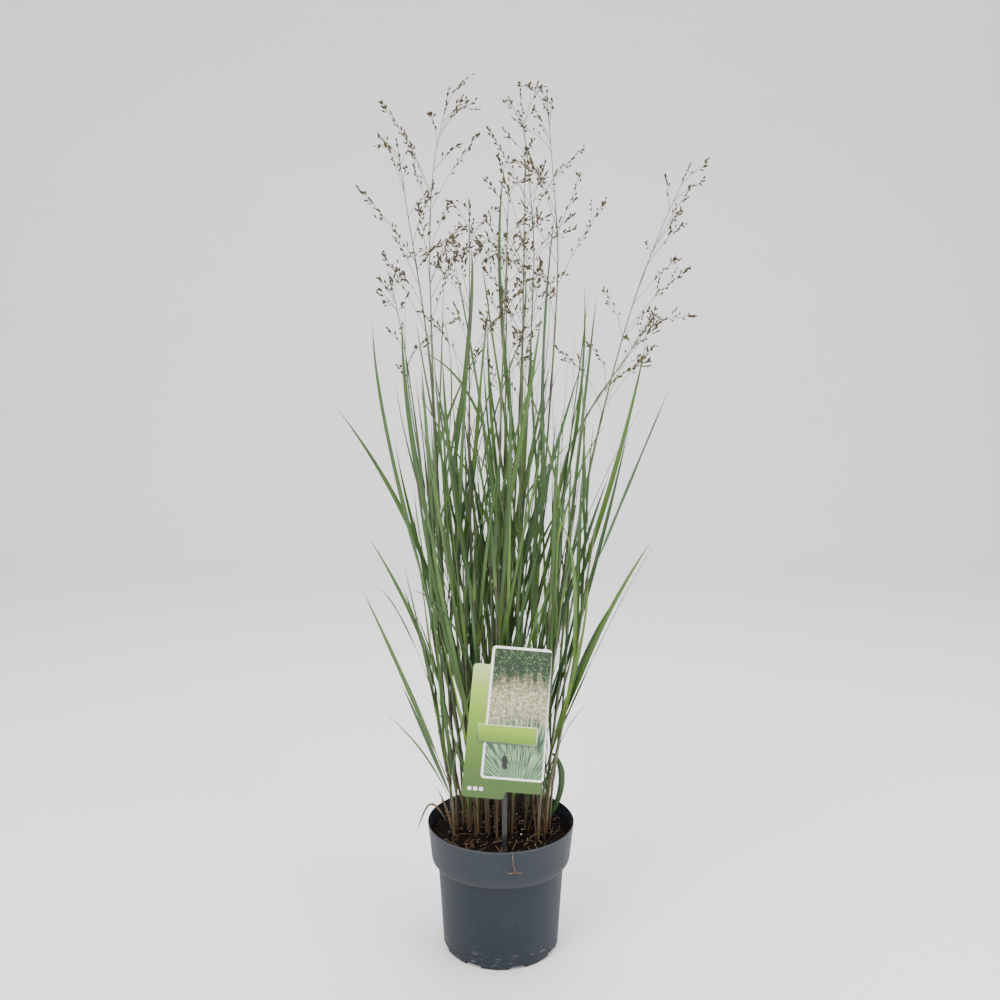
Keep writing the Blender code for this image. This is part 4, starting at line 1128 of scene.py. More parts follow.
@dataclass
class GrassMasters:
    """The shapes that the grass is made of, each modelled once."""

    blade_rows: int = 26
    culm_sides: int = 8
    culm_rows: int = 48
    knot_rows: tuple[int, ...] = (9, 19, 30, 40)

    def blade(self) -> Master:
        """A flat strip folded along its keel and given a thin wall, 1 wide and 1 long."""
        Bench.clear()
        bpy.ops.mesh.primitive_grid_add(x_subdivisions=4, y_subdivisions=self.blade_rows, size=1.0,
                                        location=(0.0, 0.5, 0.0))
        bpy.ops.object.transform_apply(location=True, rotation=False, scale=False)
        shape = Bench.edit("VERT")
        for vertex in shape.verts:
            vertex.select = abs(vertex.co.x) < 1e-4
        bpy.ops.transform.translate(value=(0.0, 0.0, -BLADE_FOLD))
        bpy.ops.mesh.select_all(action="DESELECT")
        shape = bmesh.from_edit_mesh(bpy.context.object.data)
        for vertex in shape.verts:
            vertex.select = abs(abs(vertex.co.x) - 0.25) < 1e-3
        bpy.ops.transform.translate(value=(0.0, 0.0, -BLADE_FOLD * 0.28))
        bpy.ops.object.mode_set(mode="OBJECT")
        wall = bpy.context.object.modifiers.new("wall", "SOLIDIFY")
        wall.thickness = 0.034
        wall.offset = 0.0
        bpy.ops.object.modifier_apply(modifier="wall")
        return Bench.take_master("blade")

    @staticmethod
    def draw_up(sides: int, rows: int, narrowing: float = 1.0) -> None:
        """Draws a stalk 1 long up from a disc of radius 1, in edit mode.

        Args:
            sides: how many sides it has.
            rows: how many steps it is drawn up in.
            narrowing: the share of its width that each step keeps.
        """
        Bench.clear()
        bpy.ops.mesh.primitive_circle_add(vertices=sides, radius=1.0, fill_type="NGON")
        bpy.ops.object.mode_set(mode="EDIT")
        bpy.ops.mesh.select_all(action="SELECT")
        for _ in range(rows):
            bpy.ops.mesh.extrude_region_move(TRANSFORM_OT_translate={"value": (0.0, 0.0, 1 / rows)})
            if narrowing != 1.0:
                bpy.ops.transform.resize(value=(narrowing, narrowing, 1.0))

    def culm(self) -> Master:
        """A round stalk of radius 1 and length 1, swollen at its knots."""
        self.draw_up(self.culm_sides, self.culm_rows)
        for row in self.knot_rows:
            shape = Bench.edit("VERT")
            for vertex in shape.verts:
                vertex.select = abs(vertex.co.z - row / self.culm_rows) < 1e-4
            bpy.ops.transform.resize(value=(1.45, 1.45, 1.0))
        bpy.ops.mesh.select_all(action="SELECT")
        bpy.ops.mesh.normals_make_consistent(inside=False)
        return Bench.take_master("culm")

    def thread(self) -> Master:
        """A fine three-sided stalk of radius 1 and length 1, drawn in towards its end."""
        self.draw_up(3, 6, 0.9)
        bpy.ops.mesh.select_all(action="SELECT")
        bpy.ops.mesh.normals_make_consistent(inside=False)
        return Bench.take_master("thread")

    def spikelet(self) -> Master:
        """A plump pointed husk, 1 long from its stalk at 0 and 1 wide."""
        Bench.clear()
        bpy.ops.mesh.primitive_uv_sphere_add(segments=6, ring_count=5, radius=0.5)
        shape = Bench.edit("VERT")
        for vertex in shape.verts:
            vertex.select = vertex.co.z > 0.2
        bpy.ops.transform.resize(value=(0.62, 0.62, 1.0))
        bpy.ops.mesh.select_all(action="SELECT")
        bpy.ops.transform.translate(value=(0.0, 0.0, 0.5))
        return Bench.take_master("spikelet")


class Slot(Enum):
    """Three names of material slots: pot, soil and grass. No piece here is given one."""

    POT = "pot"
    SOIL = "soil"
    GRASS = "grass"


def curve_frames(line: list[Vector], across: list[Vector] | None = None) -> tuple[np.ndarray, ...]:
    """A line's points with the way its width and its face point there, as arrays."""
    ways = tangents(line)
    if across is None:
        side = ways[0].cross(Vector((0.0, 1.0, 0.0))).normalized()
        across = []
        for way in ways:
            side = (side - way * side.dot(way)).normalized()
            across.append(side)
    faces = [side.cross(way) for side, way in zip(across, ways)]
    return tuple(np.array([tuple(v) for v in part]) for part in (line, across, faces))


def read_at(rows: np.ndarray, shares: np.ndarray) -> np.ndarray:
    """Rows of an array read at shares of its length."""
    at = np.clip(shares, 0, 1) * (len(rows) - 1)
    low = np.minimum(at.astype(int), len(rows) - 2)
    part = (at - low)[:, None]
    return rows[low] * (1 - part) + rows[low + 1] * part


def laid_along(frames: tuple[np.ndarray, ...], along: np.ndarray, out: np.ndarray,
               lift: np.ndarray) -> np.ndarray:
    """The corners of a copy that follows a line.

    Args:
        frames: the line's points, with the way its width and its face point there.
        along: each corner's share of the line's length.
        out: each corner's distance across the line.
        lift: each corner's distance off the line's face.

    Returns:
        The places of the corners.
    """
    places, across, faces = (read_at(rows, along) for rows in frames)
    return places + across * out[:, None] + faces * lift[:, None]


@dataclass
class GrassClump:
    """The clump in detail: every shoot's blades, culm and panicle."""

    clump: Clump
    leaf: bpy.types.Material
    husk: bpy.types.Material
    rng: random.Random = field(default_factory=lambda: random.Random(SEED + 1))
    masters: GrassMasters = field(default_factory=GrassMasters)

    def __post_init__(self) -> None:
        """Models the masters."""
        self.blade_master = self.masters.blade()
        self.culm_master = self.masters.culm()
        self.thread_master = self.masters.thread()
        self.spikelet_master = self.masters.spikelet()

    def thicken(self) -> int:
        """Grows thinner blades wherever there is still room, and returns how many."""
        rng = self.rng
        grown = 0
        for shoot in self.clump.shoots:
            top = shoot.panicle_from - 0.10 if shoot.panicle_from else shoot.line[-1].z
            room = min(top, THIN_BLADE_TOP) - THIN_BLADE_FOOT
            for number in range(THIN_BLADE_ROUNDS):
                collar = THIN_BLADE_FOOT + room * (number + rng.random()) / THIN_BLADE_ROUNDS
                start, _ = at_height(shoot.line, collar)
                for _ in range(THIN_BLADE_TRIES):
                    side = rng.uniform(0, 2 * math.pi)
                    length = rng.uniform(*THIN_BLADE_LENGTH)
                    reach = rng.uniform(*THIN_BLADE_REACH)
                    away = Vector((start.x, start.y, 0.0)) * rng.uniform(0.1, 0.7)
                    tip = start + Vector((math.cos(side) * reach, 0.8 * math.sin(side) * reach, 0.0)) + away
                    tip.z = min(start.z + length * rng.uniform(0.72, 0.98), 0.84)
                    inside = THIN_TIP_SPAN[0] < tip.x < THIN_TIP_SPAN[1] or tip.z < THIN_TIP_SPAN_FROM
                    inside = inside and CAD_BOX[0][1] < tip.y < CAD_BOX[1][1]
                    blade = Blade(collar, tuple(tip), rng.uniform(*THIN_BLADE_WIDTH),
                                  rng.uniform(0.4, 0.8), rng.uniform(-150, 150))
                    if inside and self.clump.add_blade(shoot, blade):
                        grown += 1
                        break
        return grown

    def lay_blade(self, pile: Pile, shoot: Shoot, blade: Blade) -> None:
        """Lays a copy of the blade master along a blade's line."""
        rng = self.rng
        lay_blade(shoot, blade, FINE_BLADE_STEPS)
        places = self.blade_master.places
        along = places[:, 1]
        open_base = np.clip(along / 0.10, 0, 1)
        open_base = SHEATH_BASE_WIDTH + (1 - SHEATH_BASE_WIDTH) * open_base ** 2 * (3 - 2 * open_base)
        taper = np.maximum(BLADE_TIP_WIDTH * 0.6, open_base * (1 - along ** 2.6) ** 0.9)
        width = blade.width * SLENDER * taper
        ripple = 0.10 * np.sin(2 * math.pi * (along * rng.uniform(2, 5) + rng.random()))
        lift = places[:, 2] + ripple * np.abs(places[:, 0]) * np.sign(places[:, 0])
        old = rng.random()
        if old < 0.02:
            age = 1.0 + rng.random()
        elif old < 0.16:
            age = rng.uniform(0.20, 0.55)
        else:
            age = rng.uniform(0, 0.12)
        tint = min(1.0, max(0.0, rng.gauss(0.44, 0.24)))
        self.lay_strip(pile, blade.line, places[:, 0] * width, lift * width, tint, age, blade.across)

    def lay_culm(self, pile: Pile, shoot: Shoot) -> None:
        """Lays a copy of the culm master up a shoot."""
        girth_share = self.rng.uniform(0.62, 0.88)
        frames = curve_frames(smooth_line(shoot.line[1:], 60))
        places = self.culm_master.places
        along = places[:, 2]
        radii = np.array([culm_radius(shoot, z) for z in read_at(frames[0], along)[:, 2]]) * girth_share
        corners = laid_along(frames, along, places[:, 0] * radii, places[:, 1] * radii)
        girth = np.hypot(places[:, 0], places[:, 1])
        strip = np.stack([np.abs(np.arctan2(places[:, 1], places[:, 0])) / math.pi, along], axis=1)
        knot = np.clip((girth - 1.05) / 0.3, 0, 1)
        pile.add(corners, self.culm_master.faces, strip,
                 tint=self.rng.uniform(0.15, 0.85), age=0.0, culm=1.0, knot=knot)

    def lay_thread(self, pile: Pile, line: list[Vector], radius: float, tint: float) -> None:
        """Lays a copy of the thread master along a fine branch."""
        places = self.thread_master.places
        along = places[:, 2]
        corners = laid_along(curve_frames(line), along, places[:, 0] * radius, places[:, 1] * radius)
        strip = np.stack([places[:, 0] * 0.5 + 0.5, along], axis=1)
        pile.add(corners, self.thread_master.faces, strip, tint=tint, husk=0.0)

    def lay_spikelet(self, pile: Pile, place: Vector, way: Vector) -> None:
        """Sets a copy of the spikelet master on a stalk's end."""
        rng = self.rng
        way = (way + Vector([rng.uniform(-0.35, 0.35) for _ in range(3)])).normalized()
        side = way.orthogonal().normalized()
        face = way.cross(side)
        size = rng.uniform(0.75, 1.15)
        turn = np.array([tuple(side * SPIKELET_WIDTH), tuple(face * SPIKELET_WIDTH * 0.8),
                         tuple(way * SPIKELET_LENGTH)]) * size
        places = self.spikelet_master.places
        round_husk = np.arctan2(places[:, 1], places[:, 0]) / (2 * math.pi) + 0.5
        strip = np.stack([round_husk, places[:, 2]], axis=1)
        pile.add(places @ turn + np.array(tuple(place)), self.spikelet_master.faces, strip,
                 tint=min(1.0, max(0.0, rng.gauss(0.5, 0.26))), husk=1.0)

    def lay_branch(self, pile: Pile, line: list[Vector]) -> None:
        """Lays a panicle branch with its branchlets and spikelets."""
        rng = self.rng
        fine = smooth_line(line, 12)
        self.lay_thread(pile, fine, BRANCH_THREAD, rng.random())
        reach = sum((b - a).length for a, b in zip(fine, fine[1:]))
        count = max(4, int(reach / 0.0058))
        bare = rng.uniform(0.30, 0.48)
        for number in range(count):
            share = bare + (1 - bare) * ((number + rng.random() * 0.7) / count) ** 0.8
            at = min(share, 0.999) * (len(fine) - 1)
            low = int(at)
            start = fine[low].lerp(fine[low + 1], at - low)
            way = (fine[low + 1] - fine[low]).normalized()
            swing = way.orthogonal().normalized()
            swing.rotate(Matrix.Rotation(rng.uniform(0, 2 * math.pi), 3, way))
            spread = math.radians(rng.uniform(14, 34))
            heading = (way * math.cos(spread) + swing * math.sin(spread)).normalized()
            long_stalk = rng.random() < 0.18 and share < 0.8
            length = rng.uniform(0.010, 0.022) if long_stalk else rng.uniform(0.002, 0.006)
            end = start + heading * length
            twig = [start, start.lerp(end, 0.5) + way * length * 0.06, end]
            self.lay_thread(pile, twig, PEDICEL_THREAD, rng.random())
            for spot in (0.55, 0.8, 1.0):
                if spot == 1.0 or (length > 0.008 and rng.random() < 0.8):
                    self.lay_spikelet(pile, start.lerp(end, spot), heading)
        for _ in range(rng.randint(1, 3)):
            back = fine[-1].lerp(fine[-2], rng.uniform(0.0, 0.7))
            self.lay_spikelet(pile, back, (fine[-1] - fine[-2]).normalized())
        self.lay_spikelet(pile, fine[-1], (fine[-1] - fine[-2]).normalized())

    def extra_branches(self, shoot: Shoot) -> list[list[Vector]]:
        """Shorter branches between a panicle's main ones."""
        rng = self.rng
        rachis = [p for p in shoot.line if p.z > shoot.panicle_from - 0.02]
        rachis = smooth_line(rachis, 30)
        found = []
        for number in range(EXTRA_BRANCHES):
            share = (number + rng.random()) / EXTRA_BRANCHES
            at = min(28, int(share * 28))
            start, way = rachis[at], (rachis[at + 1] - rachis[at]).normalized()
            turn = rng.uniform(0, 2 * math.pi)
            out = Vector((math.cos(turn), 0.7 * math.sin(turn), 0.0)).normalized()
            reach = shoot.branch_reach * (0.85 - 0.55 * share) * rng.uniform(0.5, 1.0)
            spread = math.radians(rng.uniform(20, 52))
            end = start + (way * math.cos(spread) + out * math.sin(spread)) * reach
            end.z = min(end.z, shoot.line[-1].z - 0.004)
            middle = start + (way * 0.8 + out * 0.4) * (reach * 0.5)
            found.append(bowed_line(start, middle, end, [0.0, 0.35, 0.7, 1.0]))
        return found

    def lay_strip(self, pile: Pile, line: list[Vector], out: np.ndarray, lift: np.ndarray, tint: float,
                  age: float, across: list[Vector] | None = None) -> None:
        """Lays a copy of the blade master along a line.

        Args:
            pile: where the copy goes.
            line: the way that it takes.
            out: each corner's distance across the line.
            lift: each corner's distance off the line's face.
            tint: how fresh its green is.
            age: how far it has died back.
            across: the way its width points at each point of the line, where that is known.
        """
        places = self.blade_master.places
        along = places[:, 1]
        strip = np.stack([places[:, 0] + 0.5, along], axis=1)
        pile.add(laid_along(curve_frames(line, across), along, out, lift), self.blade_master.faces, strip,
                 tint=tint, age=age, culm=0.0, knot=0.0)

    def dead_sheaths(self) -> None:
        """Shrivelled leaf bases round the feet of the shoots, curled and drooping, and the low leaves."""
        rng = self.rng
        pile = Pile()
        across, along, lift = self.blade_master.places.T
        for _ in range(DEAD_SHEATHS):
            shoot = rng.choice(self.clump.shoots)
            x, y = shoot.foot
            turn = rng.uniform(0, 2 * math.pi)
            out = Vector((math.cos(turn), math.sin(turn), 0.0))
            reach = rng.uniform(0.002, 0.016)
            start = Vector((x, y, SOIL_LEVEL - 0.001)) + out * 0.0026
            top = start + out * (reach * 0.6) + UP * rng.uniform(0.012, 0.055)
            end = top + out * reach + UP * rng.uniform(-0.018, 0.022)
            width = rng.uniform(0.0014, 0.0034) * np.maximum(0.12, (1 - along ** 2) * (0.75 + 0.25 * along))
            curl = 2.2 * np.abs(across) ** 2
            self.lay_strip(pile, smooth_line([start, start.lerp(top, 0.55), top, end], 18),
                           across * width * 0.8, (lift + curl) * width, rng.random(), 2.2)
        for leaf in LOW_LEAVES:
            taper = leaf.width * np.maximum(0.10, np.minimum(1.0, 0.35 + along * 3) * (1 - along ** 3))
            self.lay_strip(pile, smooth_line([Vector(p) for p in leaf.path], 24),
                           across * taper, lift * taper, leaf.tint, leaf.age)
        pile.piece("dead_sheaths", self.leaf)

    def build(self) -> None:
        """Builds a foliage piece for each shoot, and a panicle piece where it flowers."""
        LOG.info("%d thin blades", self.thicken())
        self.dead_sheaths()
        for number, shoot in enumerate(self.clump.shoots, 1):
            node = f"{'flowering' if shoot.panicle_from else 'leafy'}_shoot_{number:02d}"
            foliage = Pile()
            self.lay_culm(foliage, shoot)
            for blade in shoot.blades:
                if blade.via is None:
                    self.lay_blade(foliage, shoot, blade)
            piece = foliage.piece(f"foliage_{number:02d}", self.leaf)
            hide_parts(node)
            if shoot.panicle_from:
                panicle = Pile()
                for line in [*shoot.branches, *self.extra_branches(shoot)]:
                    self.lay_branch(panicle, line)
                tip, before = shoot.line[-1], shoot.line[-2]
                for share in (0.0, 0.12, 0.2, 0.34, 0.42, 0.6):
                    self.lay_spikelet(panicle, tip.lerp(before, share * self.rng.uniform(0.35, 0.6)),
                                      (tip - before).normalized())
                piece = panicle.piece(f"panicle_{number:02d}", self.husk)


# Pot

@dataclass
class NurseryPot:
    """The pot's turned wall, with its rolled lip, collar, shoulder and drain slots."""

    plastic: bpy.types.Material
    steps: int = 96
    slots: int = 8
    slot_width: float = 0.020
    slot_height: float = 0.0045
    slot_inner: float = 0.054
    slot_turn: float = 0.38
    slot_rounding: float = 0.0012

    @staticmethod
    def arc(middle: tuple[float, float], radius: float, start: float, end: float,
            steps: int) -> list[tuple[float, float]]:
        """Points of an arc, its angles in degrees."""
        angles = [math.radians(start + (end - start) * i / steps) for i in range(steps + 1)]
        return [(middle[0] + radius * math.cos(a), middle[1] + radius * math.sin(a)) for a in angles]

    def body_radius(self, height: float) -> float:
        """The outer radius of the body at a height."""
        return BASE_RADIUS + (BODY_TOP_RADIUS - BASE_RADIUS) * height / (POT_HEIGHT - COLLAR_DEPTH)

    def profile(self) -> list[tuple[float, float]]:
        """The wall's outline, down the outside and up the inside."""
        step = POT_HEIGHT - COLLAR_DEPTH
        lip = POT_WALL / 2
        bend = (COLLAR_FOOT_RADIUS - SHOULDER_RADIUS, step + SHOULDER_RADIUS)
        rim = self.arc((RIM_RADIUS - lip, POT_HEIGHT - lip), lip, 90, -10, 5)
        bead = [(RIM_RADIUS - 0.0004, POT_HEIGHT - 0.0030), (RIM_RADIUS - 0.0005, POT_HEIGHT - 0.0034)]
        shoulder = self.arc(bend, SHOULDER_RADIUS, 0, -86, 10)
        heel = self.arc((BASE_RADIUS - BASE_ROUNDING, BASE_ROUNDING), BASE_ROUNDING, 0, -90, 5)
        inner = self.arc(bend, SHOULDER_RADIUS - POT_WALL, -86, 0, 8)
        return [*rim, *bead, *shoulder, (self.body_radius(step), step - 0.0006), *heel, (0.0, 0.0),
                (0.0, POT_FLOOR), (BASE_RADIUS - POT_WALL - 0.001, POT_FLOOR),
                (BASE_RADIUS - POT_WALL, POT_FLOOR + 0.001), (self.body_radius(step) - POT_WALL, step),
                *inner, (RIM_RADIUS - POT_WALL, POT_HEIGHT - lip)]

    def shell(self) -> bpy.types.Object:
        """Draws the outline point by point and spins it round."""
        Bench.clear()
        bpy.ops.mesh.primitive_plane_add(size=0.01)
        obj = bpy.context.object
        Bench.edit("VERT")
        bpy.ops.mesh.select_all(action="SELECT")
        bpy.ops.mesh.merge(type="CENTER")
        here, *others = self.profile()
        bpy.ops.transform.translate(value=(here[0], 0.0, here[1]))
        for radius, height in others:
            bpy.ops.mesh.extrude_region_move(TRANSFORM_OT_translate={
                "value": (radius - here[0], 0.0, height - here[1])})
            here = (radius, height)
        bpy.ops.mesh.select_all(action="SELECT")
        bpy.ops.mesh.spin(steps=self.steps, angle=2 * math.pi, center=(0.0, 0.0, 0.0), axis=UP)
        bpy.ops.mesh.select_all(action="SELECT")
        bpy.ops.mesh.remove_doubles(threshold=0.00001)
        bpy.ops.mesh.normals_make_consistent(inside=False)
        bpy.ops.object.mode_set(mode="OBJECT")
        obj.name = "pot_shell"
        return obj

    def drain_cutter(self) -> bpy.types.Object:
        """The blocks that cut the drain slots, copied round the base."""
        Bench.clear()
        outer = BASE_RADIUS + 0.01
        bpy.ops.mesh.primitive_cube_add(
            size=1.0, location=((outer + self.slot_inner) / 2, 0.0, 0.0),
            scale=(outer - self.slot_inner, self.slot_width, self.slot_height * 2))
        cutter = bpy.context.object
        bpy.ops.object.transform_apply(location=True, rotation=True, scale=True)
        bpy.ops.object.mode_set(mode="EDIT")
        bpy.ops.mesh.select_all(action="SELECT")
        bpy.ops.mesh.bevel(offset=self.slot_rounding, segments=2, affect="EDGES")
        bpy.ops.object.mode_set(mode="OBJECT")
        block = cutter.data.copy()
        shape = bmesh.new()
        for number in range(self.slots):
            turn = Matrix.Rotation(2 * math.pi * (number + self.slot_turn) / self.slots, 4, "Z")
            copy = block.copy()
            copy.transform(turn)
            shape.from_mesh(copy)
            bpy.data.meshes.remove(copy)
        shape.to_mesh(cutter.data)
        shape.free()
        return cutter

    def build(self) -> None:
        """Builds the pot's detailed shell in place of its plain node."""
        obj = self.shell()
        cutter = self.drain_cutter()
        cut = obj.modifiers.new("drain", "BOOLEAN")
        cut.operation = "DIFFERENCE"
        cut.solver = "EXACT"
        cut.object = cutter
        bpy.context.view_layer.objects.active = obj
        bpy.ops.object.modifier_apply(modifier="drain")
        bpy.data.objects.remove(cutter, do_unlink=True)
        obj.data.materials.clear()
        obj.data.materials.append(self.plastic)
        obj.data.shade_smooth()
        obj.data.set_sharp_from_angle(angle=math.radians(32))
        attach(obj, "root")
        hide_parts("pot")
        LOG.info("pot_shell: %d faces", len(obj.data.polygons))


# Soil

# The way of the dead root that hangs over the front of the rim
RIM_ROOT = [(0.004, -0.072, 0.1385), (0.009, -0.081, 0.1440), (0.0118, -0.0848, 0.1499),
            (0.0132, -0.0866, 0.1475), (0.0130, -0.0852, 0.1390), (0.0155, -0.0846, 0.1275)]


@dataclass
class PottingSoil:
    """The soil: a lumpy bed with loose crumbs, perlite, bark and roots on it."""

    clump: Clump
    peat: bpy.types.Material
    perlite: bpy.types.Material
    bark: bpy.types.Material
    root: bpy.types.Material
    rng: random.Random = field(default_factory=lambda: random.Random(SEED + 2))
    edge: float = RIM_RADIUS - POT_WALL - SEAT_GAP - 0.0016
    depth: float = 0.130
    insets: int = 27
    crumbs: int = 420
    perlite_grains: int = 34
    chips: int = 60
    dead_roots: int = 70

    def top(self, x: float, y: float) -> float:
        """The height of the bed's surface at a place."""
        reach = math.hypot(x, y)
        lump = noise.noise(Vector((x, y, SOIL_LEVEL)) / 0.018)
        crumb = noise.noise(Vector((x, y, 3.0)) / 0.0065)
        grit = noise.noise(Vector((x, y, 7.0)) / 0.0028)
        crown = 0.003 * max(0.0, 1 - reach / CROWN_RADIUS)
        sunk = 0.0015 * max(0.0, reach / self.edge - 0.85) / 0.15
        return SOIL_LEVEL + 0.0025 * lump + 0.0013 * crumb + 0.0008 * grit + crown - sunk

    def bed(self) -> None:
        """Models the bed: a tapered plug whose top is inset and divided, then roughened."""
        Bench.clear()
        bpy.ops.mesh.primitive_cylinder_add(
            vertices=80, radius=self.edge, depth=self.depth, end_fill_type="NGON",
            location=(0.0, 0.0, POT_FLOOR + SEAT_GAP + self.depth / 2))
        obj = bpy.context.object
        bpy.ops.object.transform_apply(location=True, rotation=False, scale=False)
        shape = Bench.edit("VERT")
        for vertex in shape.verts:
            vertex.select = vertex.co.z < 0.05
        narrow = (BASE_RADIUS - POT_WALL - SEAT_GAP - 0.0006) / self.edge
        bpy.ops.transform.resize(value=(narrow, narrow, 1.0))
        bpy.ops.mesh.select_all(action="DESELECT")
        for height, radius in ((0.108, self.edge - 0.0022), (0.100, BODY_TOP_RADIUS - 0.0030)):
            bpy.ops.mesh.select_all(action="SELECT")
            bpy.ops.mesh.bisect(plane_co=(0.0, 0.0, height), plane_no=(0.0, 0.0, 1.0))
            shape = bmesh.from_edit_mesh(obj.data)
            cut = [v for v in shape.verts if abs(v.co.z - height) < 1e-5]
            for vertex in cut:
                reach = vertex.co.xy.length
                vertex.co.x *= radius / reach
                vertex.co.y *= radius / reach
            bmesh.update_edit_mesh(obj.data)
        bpy.ops.mesh.select_mode(type="FACE")
        bpy.ops.mesh.select_all(action="DESELECT")
        shape = bmesh.from_edit_mesh(obj.data)
        for face in shape.faces:
            face.select = face.normal.z > 0.9
        for _ in range(self.insets):
            bpy.ops.mesh.inset(thickness=self.edge / (self.insets + 1.5), depth=0.0)
        bpy.ops.mesh.poke()
        bpy.ops.object.mode_set(mode="OBJECT")
        level = max(v.co.z for v in obj.data.vertices)
        for vertex in obj.data.vertices:
            if vertex.co.z > level - 1e-4:
                x, y = vertex.co.x, vertex.co.y
                vertex.co.z = self.top(x, y)
        obj.name = "soil_bed"
        obj.data.materials.clear()
        obj.data.materials.append(self.peat)
        obj.data.shade_smooth()
        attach(obj, "root")
        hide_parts("soil")
        LOG.info("soil_bed: %d faces", len(obj.data.polygons))

    def crumb_master(self) -> Master:
        """An uneven crumb of radius 1."""
        Bench.clear()
        bpy.ops.mesh.primitive_ico_sphere_add(subdivisions=2, radius=1.0)
        obj = bpy.context.object
        bpy.ops.object.mode_set(mode="EDIT")
        bpy.ops.mesh.select_all(action="SELECT")
        bpy.ops.transform.resize(value=(1.0, 0.8, 0.62))
        bpy.ops.mesh.vertices_smooth(factor=0.2)
        bpy.ops.object.mode_set(mode="OBJECT")
        for vertex in obj.data.vertices:
            vertex.co *= 1 + 0.45 * noise.noise(vertex.co * 1.7 + Vector((3.0, 1.0, 2.0)))
        return Bench.take_master("crumb")

    def scatter(self, name: str, master: Master, count: int, sizes: tuple[float, float],
                material: bpy.types.Material, flat: float = 1.0) -> None:
        """Scatters turned copies of a master over the bed.

        Args:
            name: the piece's name.
            master: the shape that is copied.
            count: how many copies.
            sizes: the least and greatest radius.
            material: the piece's finish.
            flat: how much each copy is drawn out along its length.
        """
        rng = self.rng
        pile = Pile()
        for _ in range(count):
            reach = (self.edge - 0.004) * math.sqrt(rng.random())
            angle = rng.uniform(0, 2 * math.pi)
            x, y = reach * math.cos(angle), reach * math.sin(angle)
            size = rng.uniform(*sizes) * rng.uniform(0.6, 1.0)
            turn = Matrix.Rotation(rng.uniform(0, 6.28), 3, "Z")
            turn = turn @ Matrix.Rotation(rng.uniform(-0.5, 0.5), 3, "X")
            thick = 0.5 if flat > 1 else 1.0
            shape = np.array(turn @ Matrix.Diagonal((size * flat, size, size * thick)))
            places = master.places @ shape.T + np.array((x, y, self.top(x, y) + size * 0.25))
            strip = master.places[:, :2] * 0.5 + 0.5
            pile.add(places, master.faces, strip)
        pile.piece(name, material, 40.0)

    @staticmethod
    def lay_root(pile: Pile, thread: Master, line: list[Vector], radius: float) -> None:
        """Lays a copy of the thread master along a root."""
        across, off, along = thread.places.T
        corners = laid_along(curve_frames(line), along, across * radius, off * radius)
        pile.add(corners, thread.faces, thread.places[:, :2] * 0.5 + 0.5)

    def roots(self) -> None:
        """Fine dead roots on the bed, and one that hangs over the front of the rim and forks at its end."""
        rng = self.rng
        thread = GrassMasters().thread()
        pile = Pile()
        for _ in range(self.dead_roots):
            reach = (self.edge - 0.012) * math.sqrt(rng.random())
            angle = rng.uniform(0, 2 * math.pi)
            here = Vector((reach * math.cos(angle), reach * math.sin(angle), 0.0))
            heading = rng.uniform(0, 2 * math.pi)
            line = []
            for _ in range(5):
                line.append(Vector((here.x, here.y, self.top(here.x, here.y) + rng.uniform(0.0002, 0.0018))))
                here += Vector((math.cos(heading), math.sin(heading), 0.0)) * 0.0032
                heading += rng.uniform(-0.6, 0.6)
            self.lay_root(pile, thread, smooth_line(line, 10), rng.uniform(0.0002, 0.0004))
        self.lay_root(pile, thread, smooth_line(RIM_ROOT, 24), 0.00045)
        end = Vector((0.0155, -0.0848, 0.1262))
        for reach in (-0.0105, 0.0085):
            fork = [end, end + Vector((reach * 0.6, -0.0004, -0.0010)), end + Vector((reach, 0.0008, 0.0012))]
            self.lay_root(pile, thread, smooth_line(fork, 12), 0.0003)
        pile.piece("dead_roots", self.root, 60.0)

    def rim_clot(self, crumb: Master) -> None:
        """The clot of soil on the end of the root that hangs over the rim."""
        pile = Pile()
        for side, size in ((-0.0024, 0.0019), (0.0006, 0.0027), (0.0038, 0.0016)):
            place = np.array((0.0155 + side, -0.0846, 0.1262))
            pile.add(crumb.places * (size, size * 0.6, size * 0.6) + place, crumb.faces,
                     crumb.places[:, :2] * 0.5 + 0.5)
        pile.piece("rim_clot", self.bark, 40.0)

    def build(self) -> None:
        """Builds the bed and what lies on it."""
        self.bed()
        crumb = self.crumb_master()
        self.scatter("peat_crumbs", crumb, self.crumbs, (0.0012, 0.0034), self.peat)
        self.scatter("perlite", crumb, self.perlite_grains, (0.0006, 0.0014), self.perlite)
        self.scatter("bark_chips", crumb, self.chips, (0.0010, 0.0022), self.bark, 2.6)
        self.roots()
        self.rim_clot(crumb)


# Stage

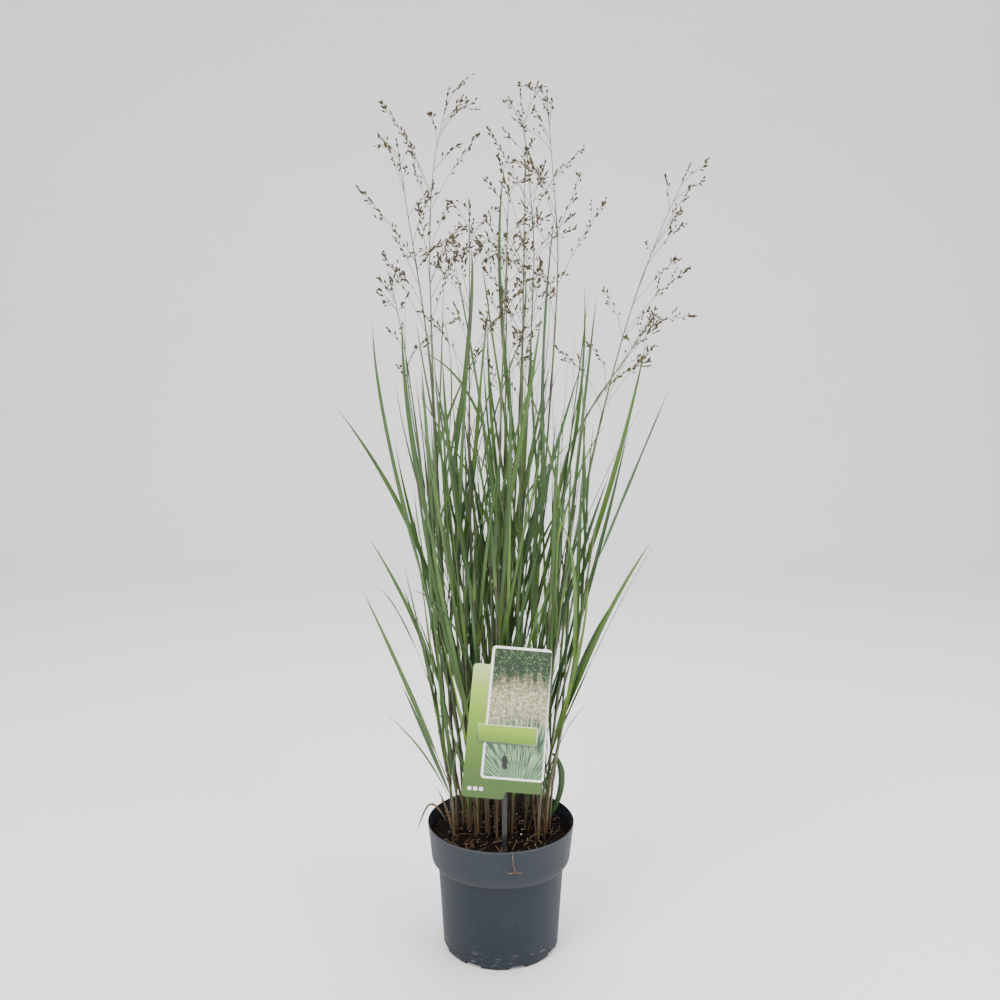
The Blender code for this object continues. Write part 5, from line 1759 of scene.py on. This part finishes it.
@dataclass
class Studio:
    """A pale floor and backdrop, soft lights, and the camera where the photograph was taken from."""

    camera_height: float = 0.666
    camera_distance: float = 1.117
    camera_x: float = -0.001
    pitch: float = math.radians(7.17)
    lens: float = 36.0
    sensor: float = 36.0
    floor: float = 6.0
    wall: float = 4.0
    sweep: float = 0.8
    aim: tuple[float, float, float] = (0.0, 0.0, 0.45)
    sky: tuple[float, ...] = (0.98, 0.985, 1.0, 1.0)
    sky_strength: float = 1.15

    def backdrop(self) -> None:
        """A floor that curves up into a wall."""
        Bench.clear()
        bpy.ops.mesh.primitive_plane_add(size=self.floor, location=(0.0, 0.0, -0.0002))
        obj = bpy.context.object
        far = self.floor / 2 - 0.1
        shape = Bench.edit("EDGE")
        for edge in shape.edges:
            edge.select = all(v.co.y > far for v in edge.verts)
        bpy.ops.mesh.extrude_region_move(TRANSFORM_OT_translate={"value": (0.0, 0.0, self.wall)})
        shape = Bench.edit("EDGE")
        for edge in shape.edges:
            edge.select = all(v.co.y > far and v.co.z < 0.1 for v in edge.verts)
        bpy.ops.mesh.bevel(offset=self.sweep, segments=12, affect="EDGES")
        bpy.ops.object.mode_set(mode="OBJECT")
        obj.name = "studio_backdrop"
        paint = Paint("studio_paper")
        soft = paint.noise(paint.place(), 3.0, 2.0)
        colour = paint.mixed(soft, (0.80, 0.795, 0.79), (0.83, 0.825, 0.82))
        obj.data.materials.append(paint.finish(colour, 0.85))
        obj.data.shade_smooth()

    def light(self, name: str, place: tuple, size: float, power: float, colour: tuple) -> None:
        """A soft square light that faces the middle of the plant."""
        lamp = bpy.data.lights.new(name, "AREA")
        lamp.size = size
        lamp.energy = power
        lamp.color = colour
        obj = bpy.data.objects.new(name, lamp)
        bpy.context.scene.collection.objects.link(obj)
        obj.location = place
        way = Vector(self.aim) - Vector(place)
        obj.rotation_euler = way.to_track_quat("-Z", "Y").to_euler()

    def build(self) -> None:
        """Sets the stage."""
        self.backdrop()
        self.light("key", (-1.3, -1.6, 2.1), 1.4, 74.0, (1.0, 0.985, 0.96))
        self.light("fill", (1.9, -1.2, 1.2), 1.8, 44.0, (0.95, 0.975, 1.0))
        self.light("top", (0.2, 0.5, 2.4), 1.6, 52.0, (1.0, 1.0, 1.0))
        world = bpy.data.worlds.new("studio")
        world.use_nodes = True
        background = world.node_tree.nodes["Background"]
        background.inputs[0].default_value = self.sky
        background.inputs[1].default_value = self.sky_strength
        bpy.context.scene.world = world
        data = bpy.data.cameras.new("camera")
        data.lens = self.lens
        data.sensor_width = self.sensor
        data.clip_start = 0.01
        camera = bpy.data.objects.new("camera", data)
        camera.location = (self.camera_x, -self.camera_distance, self.camera_height)
        camera.rotation_euler = (math.pi / 2 - self.pitch, 0.0, 0.0)
        bpy.context.scene.collection.objects.link(camera)
        bpy.context.scene.camera = camera


@dataclass
class PlantLabel:
    """The label's card and stake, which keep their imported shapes."""

    card: bpy.types.Material
    stake: bpy.types.Material

    def build(self) -> None:
        """Gives both nodes their finishes."""
        for node, material in (("label_card", self.card), ("label_stake", self.stake)):
            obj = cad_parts[node]
            obj.data.materials.clear()
            obj.data.materials.append(material)
            LOG.info("%s dressed", node)


def main() -> None:
    """Builds the whole potted plant and its studio."""
    logging.basicConfig(level=logging.INFO, format="%(message)s")
    Studio().build()
    clump = Clump()
    clump.grow()
    LOG.info("%d shoots laid out", len(clump.shoots))
    NurseryPot(PotPlastic().make()).build()
    perlite = CrumbFinish("perlite", (0.72, 0.71, 0.68), (0.38, 0.32, 0.26)).make()
    bark = CrumbFinish("bark", (0.110, 0.060, 0.034), (0.045, 0.024, 0.014)).make()
    root = CrumbFinish("dead_root", (0.300, 0.200, 0.110), (0.130, 0.075, 0.042)).make()
    PottingSoil(clump, PeatFinish().make(), perlite, bark, root).build()
    PlantLabel(LabelPrint().make(), StakePlastic().make()).build()
    GrassClump(clump, GrassFinish().make(), PanicleFinish().make()).build()


if __name__ == "__main__":
    main()
